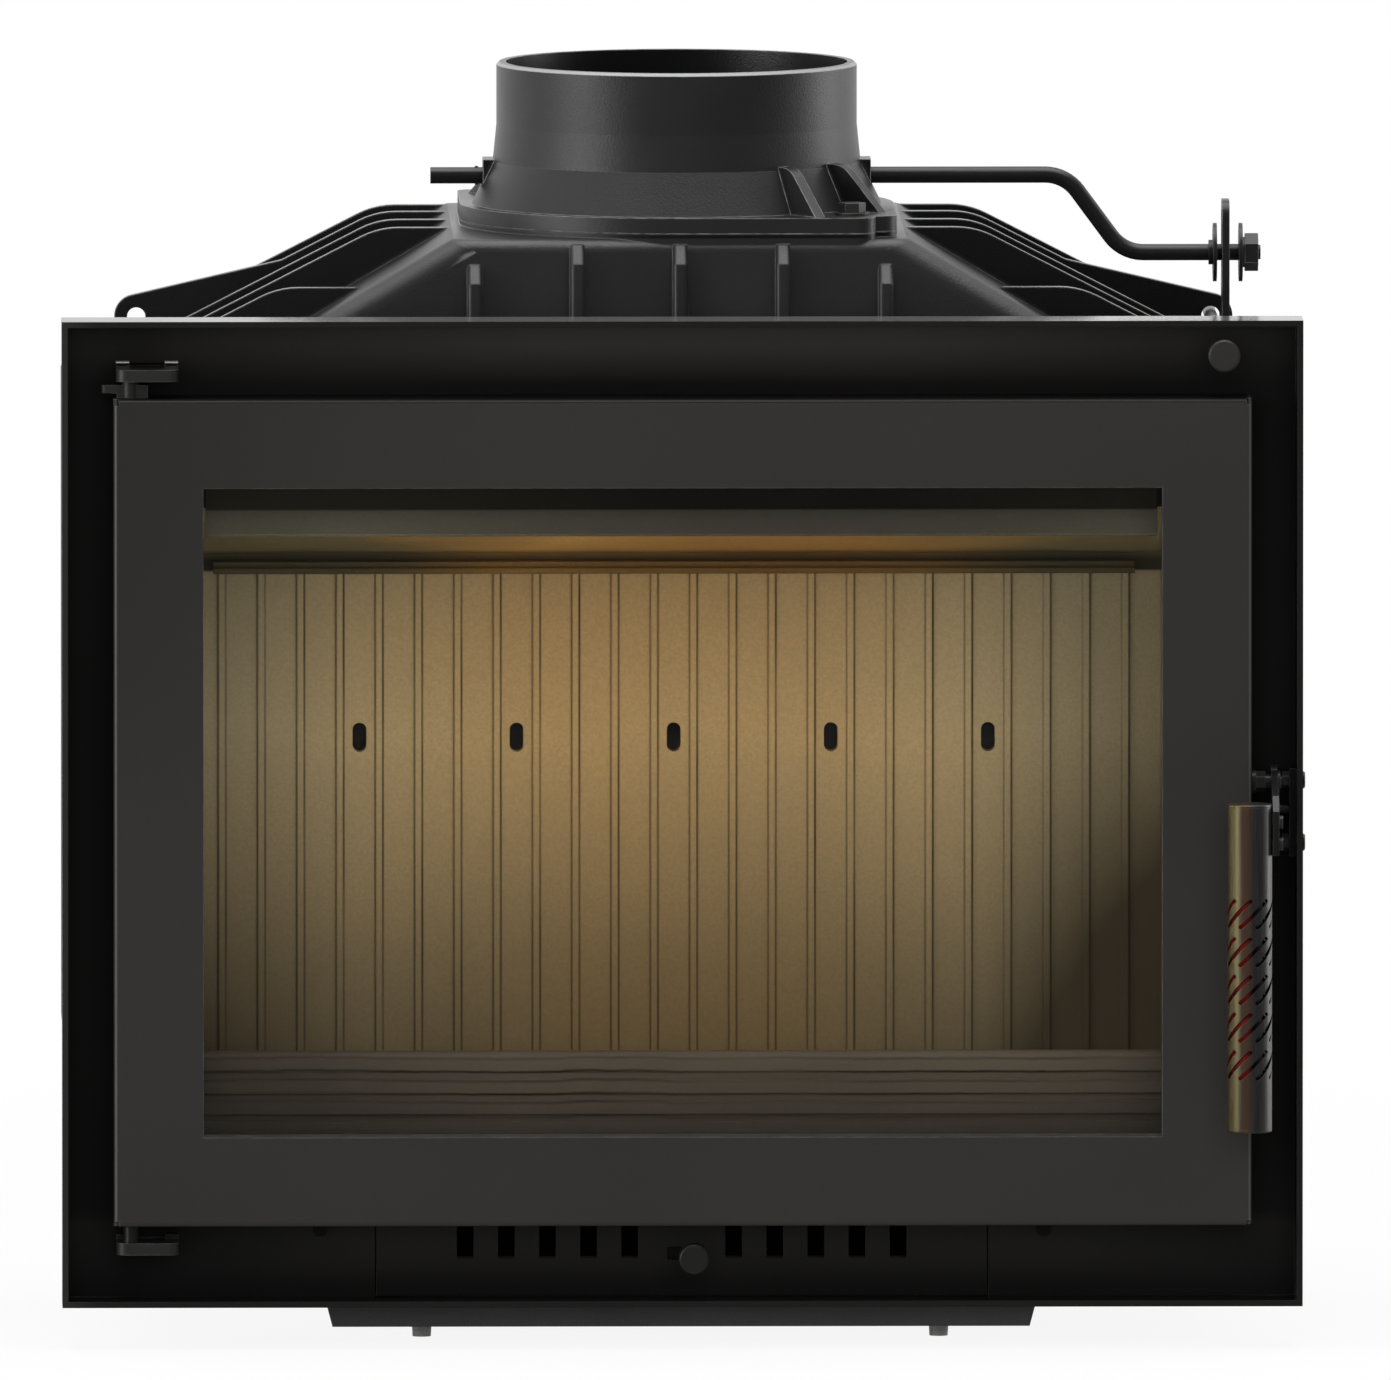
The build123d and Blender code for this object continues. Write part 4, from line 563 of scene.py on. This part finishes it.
def hearth_iron(name="hearth_iron", stains=None):
    """Iron plates round the fire, tan, with painted orange firelight over the middle, and darker low and at
    the sides.

    What stains adds is painted over the tan.
    """
    material, tree, output = new_material(name)
    place, x, y, z = place_of(tree)
    patches = noise(tree, place, 6.0, detail=4.0)
    grain = noise(tree, place, iron_grain, roughness=0.6)
    # Painted firelight: warmer orange over the middle
    middle = spread(tree, away(tree, x, -0.01), 0.04, 0.26, 1.0, 0.0)
    firelight_warmth = math_node(tree, "ADD", middle, spread(tree, patches, *mid_noise, -0.2, 0.2), clamp=True)
    tan = mix_colour(tree, firelight_warmth, opaque((0.45, 0.40, 0.275)), opaque((0.55, 0.385, 0.190)))
    tan = mix_colour(tree, spread(tree, grain, *narrow_noise, 0.0, 0.3), tan, opaque((0.28, 0.21, 0.11)))
    wavering = math_node(tree, "ADD", z, times(tree, patches, 0.06))
    # Darker towards the foot, the sides and the lower right corner
    low = spread(tree, wavering, 0.34, 0.14, 0.0, 0.85)
    out = spread(tree, math_node(tree, "ABSOLUTE", x), 0.16, 0.30, 0.0, 0.42)
    corner = times(tree, spread(tree, x, 0.17, 0.27, 0.0, 0.45), spread(tree, z, 0.40, 0.20))
    darkening = math_node(tree, "ADD", math_node(tree, "ADD", low, out), corner, clamp=True)
    colour = mix_colour(tree, darkening, tan, opaque((0.06, 0.047, 0.028)))
    if stains:
        colour = stains(tree, colour, place, x, z)
    finish_with(tree, output, colour, roughness=0.8, height=grain, depth=0.0003, radius=0.0008,
                Specular_IOR_Level=0.2)
    return material


def rib_soot_shade_and_firelight(tree, colour, place, x, z):
    """Thin dark lines beside every rib, painted shade and partly sooty, and painted firelight over the rail.
    """
    within = math_node(tree, "FRACT", math_node(tree, "DIVIDE", x, rib_pitch))
    half = rib_half / rib_pitch
    # Painted shade, partly sooty, in thin lines beside each rib, darker on the right
    line = lines_at(tree, within, [(0.5 - half, 0.35), (0.5 + half, 0.95)], rib_line_width / rib_pitch)
    uneven = spread(tree, noise(tree, place, 45.0, stretch=(1.0, 1.0, 0.25)), *mid_noise, 0.35, 0.95)
    uneven = times(tree, uneven, spread(tree, z, rail_foot, rail_foot - blend))
    colour = mix_colour(tree, times(tree, line, uneven), colour, opaque((0.055, 0.042, 0.024)))
    # Painted firelight over the rail, fading to painted shade towards it
    strip = mix_colour(tree, spread(tree, z, rail_head, rail_head + 4 * blend, 0.80, 0.10),
                       firelight_bloom(tree, place, x, 0.50), opaque((0.018, 0.013, 0.006)))
    return mix_colour(tree, spread(tree, z, rail_foot, rail_foot + blend), colour, strip)


def firelight_bloom(tree, place, x, tone):
    """Olive at the two ends, and painted orange firelight over the middle of the fire."""
    ends, middle, peak = ([channel * tone for channel in colour] for colour in firelight_colours)
    along = math_node(tree, "ADD", x, spread(tree, noise(tree, place, 9.0), *mid_noise, -0.03, 0.03))
    # Painted firelight: orange over the middle, brightest a little left of centre
    wide = spread(tree, away(tree, along, 0.015), 0.08, 0.20, 1.0, 0.0)
    firelight_peak = spread(tree, away(tree, along, -0.07), 0.0, 0.09, 1.0, 0.0)
    return mix_colour(tree, firelight_peak, mix_colour(tree, wide, opaque(ends), opaque(middle)), opaque(peak))


def over_fire(name, tone, dark_from, dark_to):
    """Iron over the fire, with painted firelight over the middle, and painted shade darker towards its foot.
    """
    material, tree, output = new_material(name)
    place, x, y, z = place_of(tree)
    grain = noise(tree, place, iron_grain, roughness=0.6)
    colour = firelight_bloom(tree, place, x, tone)
    colour = mix_colour(tree, spread(tree, grain, *narrow_noise, 0.0, 0.25), colour,
                        opaque((0.05, 0.04, 0.02)))
    # Painted shade towards the foot
    colour = mix_colour(tree, spread(tree, z, dark_from, dark_to, 0.75, 0.0), colour,
                        opaque((0.022, 0.016, 0.008)))
    finish_with(tree, output, colour, roughness=0.85, height=grain, depth=0.0002, radius=0.0005,
                Specular_IOR_Level=0.1)
    return material


def retainer_iron():
    """The log retainer, grey-brown with ash, darker low down and at its ends, with dark wavy lines along its
    length.
    """
    material, tree, output = new_material("retainer_iron")
    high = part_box("log_retainer")[1]
    place, x, y, z = place_of(tree)
    grain = noise(tree, place, 800.0, roughness=0.6)
    patches = noise(tree, place, 12.0, detail=4.0, stretch=(0.3, 1.0, 1.0))
    colour = mix_colour(tree, spread(tree, z, high.z - 0.055, high.z), opaque((0.019, 0.018, 0.016)),
                        opaque((0.088, 0.074, 0.060)))
    colour = mix_colour(tree, spread(tree, patches, 0.35, 0.7, 0.0, 0.4), colour,
                        opaque((0.018, 0.016, 0.014)))
    colour = mix_colour(tree, spread(tree, away(tree, x, 0.03), 0.12, 0.30, 0.0, 0.6), colour,
                        opaque((0.010, 0.0098, 0.009)))
    waver = noise(tree, place, 14.0, detail=4.0, roughness=0.65, stretch=(1.0, 1.0, 0.2))
    height = math_node(tree, "ADD", z, spread(tree, waver, 0.2, 0.8, -0.0016, 0.0016))
    streaks = lines_at(tree, height, [(high.z - drop, strength) for drop, strength in streak_drops],
                       streak_width)
    broken = spread(tree, noise(tree, place, 30.0, stretch=(0.2, 1.0, 1.0)), 0.35, 0.6, 0.25, 1.0)
    colour = mix_colour(tree, times(tree, streaks, broken), colour, opaque((0.006, 0.0045, 0.004)))
    finish_with(tree, output, colour, roughness=0.7, height=grain, depth=0.0002, radius=0.0008,
                Specular_IOR_Level=0.15)
    return material


# Glass and fibre

def fire_glass():
    """Clear ceramic glass, faintly amber, with the lightest haze of smoke."""
    material, tree, output = new_material("fire_glass")
    place = place_of(tree)[0]
    haze = spread(tree, noise(tree, place, 7.0, detail=4.0), 0.35, 0.75, 0.0, 0.03)
    glass = add(tree, "ShaderNodeBsdfPrincipled", inputs={
        "Base Color": opaque((0.99, 0.96, 0.90)), "Roughness": haze, "IOR": 1.45,
        "Transmission Weight": 1.0, "Specular IOR Level": 0.3})
    clear = add(tree, "ShaderNodeBsdfTransparent", inputs={"Color": opaque((0.97, 0.95, 0.90))})
    path = tree.nodes.new("ShaderNodeLightPath")
    through = math_node(tree, "MAXIMUM", path.outputs["Is Shadow Ray"], path.outputs["Is Diffuse Ray"])
    mixed = add(tree, "ShaderNodeMixShader", inputs={0: through, 1: glass.outputs[0], 2: clear.outputs[0]})
    tree.links.new(mixed.outputs[0], output.inputs["Surface"])
    return material


def glass_fibre():
    """Grey woven glass-fibre tape and rope."""
    material, tree, output = new_material("glass_fibre")
    place = place_of(tree)[0]
    weave = add(tree, "ShaderNodeTexWave", wave_type="BANDS", bands_direction="DIAGONAL", inputs={
        "Vector": place, "Scale": 160.0, "Distortion": 1.5, "Detail": 1.0, "Detail Scale": 2.0})
    fuzz = noise(tree, place, 900.0, roughness=0.7)
    tone = times(tree, weave.outputs["Fac"], fuzz)
    colour = mix_colour(tree, spread(tree, tone, 0.1, 0.6), opaque((0.10, 0.10, 0.095)),
                        opaque((0.34, 0.335, 0.32)))
    finish_with(tree, output, colour, roughness=0.9, height=tone, depth=0.0008, radius=0.0002,
                Specular_IOR_Level=0.2)
    return material


finishes = {
    "cast_iron": cast_paint(),
    "hearth_iron": hearth_iron(),
    "frame_steel": frame_paint(),
    "door_steel": door_paint(),
    "inner_steel": zinc_steel(),
    "rod_steel": rod_paint(),
    "satin_steel": satin_tube(),
    "handle_core": core_red(),
    "knob_steel": knob_finish("knob_steel", (0.022, 0.021, 0.020), (0.031, 0.030, 0.029)),
    "fasteners": fastener_steel(),
    "glass": fire_glass(),
    "rope_seal": glass_fibre(),
}
own_finish = {
    "hood_casting": cast_paint("hood_paint", fins_shade_and_highlight),
    # The collar's bright edge colour is a painted highlight along its flange and rim
    "flue_collar": cast_paint("collar_paint", collar_shade_and_highlight, soften=0.0005, edge=0.30, edge_radius=0.0009),
    "base_casting": cast_paint("base_paint", tray_inside_shade, tone=4.8),
    "front_frame": frame_paint("surround_paint", frame_painted_light, edge=0.006),
    "door_frame": door_paint("door_front_paint", door_painted_light),
    "upper_hinge_bracket": hinge_paint(),
    "fireback": hearth_iron("fireback_iron", rib_soot_shade_and_firelight),
    # Painted firelight on the baffle, and a dimmer copy on the rail as painted shade under the baffle
    "baffle_plate": over_fire("baffle_iron", tone=1.15, dark_from=0.4105, dark_to=0.4160),
    "baffle_rail": over_fire("rail_iron", tone=0.33, dark_from=0.400, dark_to=0.401),
    "log_retainer": retainer_iron(),
    "air_deflector": deflector_steel(),
    "support_feet": zinc_steel("foot_steel", tone=2.3),
    # The ash pan is near black: painted shade where it sits behind the shutter
    "ash_pan": rod_paint("pan_shade_paint", tone=0.35, edge=0.01),
    "rod_nut": rod_paint("nut_steel", tone=1.5, edge=0.22),
    "link_plate": rod_paint("link_steel", tone=1.2, edge=0.16),
    "frame_screws": finishes["frame_steel"],
    "keeper_bolts": finishes["rod_steel"],
    "shutter_knob": knob_finish("shutter_knob_steel", (0.010, 0.0095, 0.009), (0.016, 0.015, 0.0145)),
}
for name in ("lower_hinge_bracket", "hinge_strip"):
    own_finish[name] = own_finish["upper_hinge_bracket"]
own_finish["drawer_front"] = own_finish["front_frame"]
slot_of = {part["node"]: part["material_slot"] for part in frame["record"]["subparts"]}
body_of = {node: body for body, held in frame["record"]["behaviour"]["bodies"].items() for node in held}
for name, thing in nodes.items():
    thing.data.materials.clear()
    thing.data.materials.append(own_finish.get(name, finishes[slot_of[name]]))


# Pieces that the solids leave plain

def new_piece(name, shape, body, finish, smooth=False):
    """A mesh object of one finish that rides on a body."""
    mesh = bpy.data.meshes.new(name)
    shape.normal_update()
    shape.to_mesh(mesh)
    shape.free()
    mesh.materials.append(finish)
    for polygon in mesh.polygons:
        polygon.use_smooth = smooth
    piece = bpy.data.objects.new(name, mesh)
    bpy.context.scene.collection.objects.link(piece)
    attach(piece, body)
    return piece


def circle(radius, sides, start=0.0):
    """Points round a circle, as pairs, from a first place given in steps."""
    angles = (2 * pi * (i + start) / sides for i in range(sides))
    return [(radius * cos(angle), radius * sin(angle)) for angle in angles]


def swept(shape, rings, closed=False):
    """Rings of points joined into a tube, closed on itself or capped at its ends."""
    made = [[shape.verts.new(point) for point in ring] for ring in rings]
    pairs = list(zip(made, made[1:])) + ([(made[-1], made[0])] if closed else [])
    for first, second in pairs:
        for i in range(len(first)):
            j = (i + 1) % len(first)
            shape.faces.new((first[i], first[j], second[j], second[i]))
    if not closed:
        shape.faces.new(list(reversed(made[0])))
        shape.faces.new(made[-1])


def rounded_loop(half_width, half_height, corner, step):
    """Points and outward directions round a rectangle with rounded corners, in its own plane."""
    loop = []
    for turn, (sx, sz) in enumerate(((1, 1), (-1, 1), (-1, -1), (1, -1))):
        centre = Vector((sx * (half_width - corner), 0, sz * (half_height - corner)))
        parts = max(4, int(corner * pi / 2 / step))
        for i in range(parts):
            angle = (turn + i / parts) * pi / 2
            out = Vector((cos(angle), 0, sin(angle)))
            loop.append((centre + corner * out, out))
        angle = (turn + 1) * pi / 2
        out = Vector((cos(angle), 0, sin(angle)))
        length = 2 * (half_width - corner) if turn % 2 == 0 else 2 * (half_height - corner)
        along = Vector((-sin(angle), 0, cos(angle)))
        parts = int(length / step)
        loop += [(centre + corner * out + along * length * i / parts, out) for i in range(parts)]
    return loop


def braided_seal():
    """The rope seal as a braid of eight strands, pressed into the door's channel."""
    low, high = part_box("door_seal")
    centre = (low + high) / 2
    deep = (high.y - low.y) / 2
    wide = seal_width / 2
    loop = rounded_loop((high.x - low.x) / 2 - wide, (high.z - low.z) / 2 - wide, seal_corner, seal_step)
    plaits = round(len(loop) * seal_step / plait_length)
    rings = []
    for i, (point, out) in enumerate(loop):
        phase = 2 * pi * plaits * i / len(loop)
        ring = []
        for k in range(seal_sides):
            angle = 2 * pi * k / seal_sides
            strand = max(cos(strands * angle + phase), cos(strands * angle - phase))
            swell = 1 - plait_swell + plait_swell * strand
            ring.append(centre + point + out * wide * swell * cos(angle)
                        + Vector((0, deep * swell * sin(angle), 0)))
        rings.append(ring)
    shape = bmesh.new()
    swept(shape, rings, closed=True)
    piece = new_piece("braided_seal", shape, "door", finishes["rope_seal"], smooth=True)
    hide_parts("door_seal")


def weld_beads():
    """Rippled welds along the roots of the hinge brackets."""
    shape = bmesh.new()
    for node in ("upper_hinge_bracket", "lower_hinge_bracket"):
        low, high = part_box(node)
        root = high.y - weld_radius * weld_depth
        count = int((high.x - low.x) / weld_step)
        for z in (low.z, low.z + bracket_thickness):
            rings = []
            for i in range(count + 1):
                x = low.x + (high.x - low.x) * i / count
                size = weld_radius * (1 - weld_ripple + weld_ripple * abs(sin(pi * i / ripple_steps)))
                if i in (0, count):
                    size *= weld_end
                rings.append([Vector((x, root + dy * weld_depth, z + dz))
                              for dy, dz in circle(size, weld_sides)])
            swept(shape, rings)
    new_piece("hinge_welds", shape, "firebox", own_finish["upper_hinge_bracket"],
              smooth=True)


def stadium(x, y):
    """Points round one upright air slot."""
    straight = slot_half - slot_radius
    points = []
    for dx, dz in circle(slot_radius, slot_sides, start=0.5):
        lift = straight if dz > 0 else -straight
        points.append(Vector((x + dx, y, slot_middle + lift + dz)))
    return points


def closed_edges(shape, points):
    """The edges of a closed line through points."""
    verts = [shape.verts.new(point) for point in points]
    return [shape.edges.new((a, b)) for a, b in zip(verts, verts[1:] + verts[:1])]


def ribbed_fireback():
    """The fireback with its ribs on either side of every air slot, as the photograph has them."""
    low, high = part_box("fireback")
    front = low.y + rib_depth
    back = front + plate_depth
    shape = bmesh.new()
    edges = closed_edges(shape, [Vector((x, front, z)) for x, z in (
        (low.x, low.z), (high.x, low.z), (high.x, high.z), (low.x, high.z))])
    for i in air_slots:
        edges += closed_edges(shape, stadium(i * slot_pitch, front))
    filled = bmesh.ops.triangle_fill(shape, use_beauty=True, edges=edges)
    faces = [item for item in filled["geom"] if isinstance(item, bmesh.types.BMFace)]
    moved = bmesh.ops.extrude_face_region(shape, geom=faces, use_keep_orig=True)
    for item in moved["geom"]:
        if isinstance(item, bmesh.types.BMVert):
            item.co.y = back
    for i in range(rib_count):
        x = (i - (rib_count - 1) / 2) * rib_pitch
        outline = ((-rib_half, front + rib_edge), (-rib_half, low.y + rib_edge), (rib_edge - rib_half, low.y),
                   (rib_half - rib_edge, low.y), (rib_half, low.y + rib_edge), (rib_half, front + rib_edge))
        swept(shape, [[Vector((x + dx, y, z)) for dx, y in outline] for z in (low.z, rail_foot)])
    for x, z in boss_places:
        swept(shape, [[Vector((x + dx, y, z + dz)) for dx, dz in circle(boss_radius, boss_sides)]
                      for y in (back - rib_edge, high.y)])
    bmesh.ops.recalc_face_normals(shape, faces=shape.faces)
    piece = new_piece("ribbed_fireback", shape, "firebox", own_finish["fireback"])
    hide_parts("fireback")


def stepped_rail():
    """The rail under the baffle's back edge: a bar with a lip along its foot and a groove over that."""
    low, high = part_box("baffle_rail")
    middle = (rail_foot + rail_head) / 2
    lip = low.y + rail_lip
    outline = ((high.y, rail_foot), (low.y + rib_edge, rail_foot), (low.y, rail_foot + rib_edge),
               (low.y, middle - rib_edge), (low.y + rib_edge, middle), (lip + rib_edge, middle),
               (lip + rib_edge, middle + rib_edge), (lip, middle + rib_edge), (lip, rail_head - rib_edge),
               (lip + rib_edge, rail_head), (high.y, rail_head))
    shape = bmesh.new()
    swept(shape, [[Vector((x, y, z)) for y, z in outline] for x in (low.x, high.x)])
    bmesh.ops.recalc_face_normals(shape, faces=shape.faces)
    piece = new_piece("stepped_rail", shape, "firebox", own_finish["baffle_rail"])
    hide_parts("baffle_rail")


def rod_pin():
    """The pin through the damper rod, cut off close to the rod, with rounded ends."""
    low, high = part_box("rod_split_pin")
    middle = (low + high) / 2
    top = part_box("damper_rod")[1].z + pin_stand
    foot = 2 * (low.z + pin_eye) - top
    shape = bmesh.new()
    ends = [(foot, pin_tip), (foot + pin_round, 1.0), (top - pin_round, 1.0), (top, pin_tip)]
    swept(shape, [[Vector((middle.x + dx, middle.y + dy, z)) for dx, dy in circle(pin_radius * k, pin_sides)]
                  for z, k in ends])
    piece = new_piece("rod_pin", shape, body_of["rod_split_pin"],
                      finishes[slot_of["rod_split_pin"]])
    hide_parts("rod_split_pin")


braided_seal()
weld_beads()
ribbed_fireback()
stepped_rail()
rod_pin()


# Studio

def studio_floor():
    """A round pale floor that fades to the white of the background at its rim."""
    mesh = bpy.data.meshes.new("studio_floor")
    shape = bmesh.new()
    bmesh.ops.create_circle(shape, cap_ends=True, radius=floor_radius, segments=floor_sides)
    shape.to_mesh(mesh)
    shape.free()
    floor = bpy.data.objects.new("studio_floor", mesh)
    bpy.context.scene.collection.objects.link(floor)
    material, tree, output = new_material("studio_floor")
    place, x, y, z = place_of(tree)
    path = tree.nodes.new("ShaderNodeLightPath")
    mirrored = path.outputs["Is Glossy Ray"]
    through = times(tree, path.outputs["Is Transmission Ray"], spread(tree, y, *front_floor))
    seen = math_node(tree, "MAXIMUM", path.outputs["Is Camera Ray"], through)
    fade = spread(tree, length_of(tree, place), floor_fade, floor_radius * floor_rim, floor_whiteness, 1.0)
    white = math_node(tree, "MAXIMUM", mirrored, times(tree, seen, fade))
    dimmed = spread(tree, y, *backdrop_turn, front_backdrop, 1.0)
    strength = math_node(tree, "MAXIMUM", seen, times(tree, mirrored, dimmed))
    paint = add(tree, "ShaderNodeBsdfDiffuse", inputs={"Color": grey(0.8)})
    glow = add(tree, "ShaderNodeEmission", inputs={"Color": grey(1.0), "Strength": strength})
    mixed = add(tree, "ShaderNodeMixShader", inputs={0: white, 1: paint.outputs[0], 2: glow.outputs[0]})
    tree.links.new(mixed.outputs[0], output.inputs["Surface"])
    mesh.materials.append(material)


def studio_world():
    """White to the camera, paler behind the object than in front of it to what the metal mirrors.

    Rays that leave the glass towards the front count as mirrored ones, since its faces turned them back.
    """
    world = bpy.data.worlds.new("studio")
    world.use_nodes = True
    tree = world.node_tree
    tree.nodes.clear()
    output = tree.nodes.new("ShaderNodeOutputWorld")
    direction = tree.nodes.new("ShaderNodeTexCoord").outputs["Generated"]
    depth = add(tree, "ShaderNodeSeparateXYZ", inputs={"Vector": direction}).outputs["Y"]
    path = tree.nodes.new("ShaderNodeLightPath")
    backdrop = spread(tree, depth, *backdrop_turn, front_backdrop - ambient, 1.0 - ambient)
    through = times(tree, path.outputs["Is Transmission Ray"], spread(tree, depth, *front_sky))
    returned = math_node(tree, "SUBTRACT", path.outputs["Is Transmission Ray"], through)
    mirrored = times(tree, math_node(tree, "MAXIMUM", path.outputs["Is Glossy Ray"], returned), backdrop)
    plain = times(tree, math_node(tree, "MAXIMUM", path.outputs["Is Camera Ray"], through), 1.0 - ambient)
    strength = math_node(tree, "ADD", math_node(tree, "ADD", mirrored, plain), ambient)
    sky = add(tree, "ShaderNodeBackground", inputs={"Color": grey(1.0), "Strength": strength})
    tree.links.new(sky.outputs[0], output.inputs["Surface"])
    bpy.context.scene.world = world


def softbox(name, place, target, width, height, brightness, mirrored=True):
    """A rectangular lamp of one brightness over its face, turned towards a point."""
    light = bpy.data.lights.new(name, "AREA")
    light.shape = "RECTANGLE"
    light.size = width
    light.size_y = height
    light.energy = brightness * pi * width * height
    lamp = bpy.data.objects.new(name, light)
    bpy.context.scene.collection.objects.link(lamp)
    lamp.location = Vector(place)
    lamp.rotation_mode = "QUATERNION"
    lamp.rotation_quaternion = (Vector(target) - Vector(place)).to_track_quat("-Z", "Y")
    lamp.visible_camera = False
    lamp.visible_glossy = mirrored


def studio_camera():
    """The photograph's point of view."""
    turn = radians(view_turn)
    lift = radians(view_lift)
    back = Vector((sin(turn) * cos(lift), -cos(turn) * cos(lift), sin(lift)))
    distance = field_width * lens / sensor
    camera = bpy.data.cameras.new("camera")
    camera.lens = lens
    camera.sensor_width = sensor
    camera.clip_start = near_clip
    camera.clip_end = 2 * distance
    viewer = bpy.data.objects.new("camera", camera)
    bpy.context.scene.collection.objects.link(viewer)
    viewer.location = field_centre + back * distance
    viewer.rotation_mode = "QUATERNION"
    viewer.rotation_quaternion = (-back).to_track_quat("-Z", "Y")
    bpy.context.scene.camera = viewer


studio_floor()
studio_world()
softbox("front_light", place=(0.2, -3.2, 1.1), target=(0.0, 0.0, 0.35), width=2.6, height=1.6,
        brightness=4.6, mirrored=False)
softbox("left_light", place=(-2.6, -1.3, 0.9), target=(0.0, 0.0, 0.45), width=1.4, height=1.7,
        brightness=5.5)
softbox("right_light", place=(2.7, 0.9, 0.9), target=(0.0, 0.0, 0.45), width=0.8, height=1.9,
        brightness=4.5)
softbox("top_light", place=(0.0, -0.1, 2.5), target=(0.0, 0.0, 0.5), width=2.4, height=2.0,
        brightness=3.6)
studio_camera()
bpy.context.scene.view_settings.view_transform = "Standard"
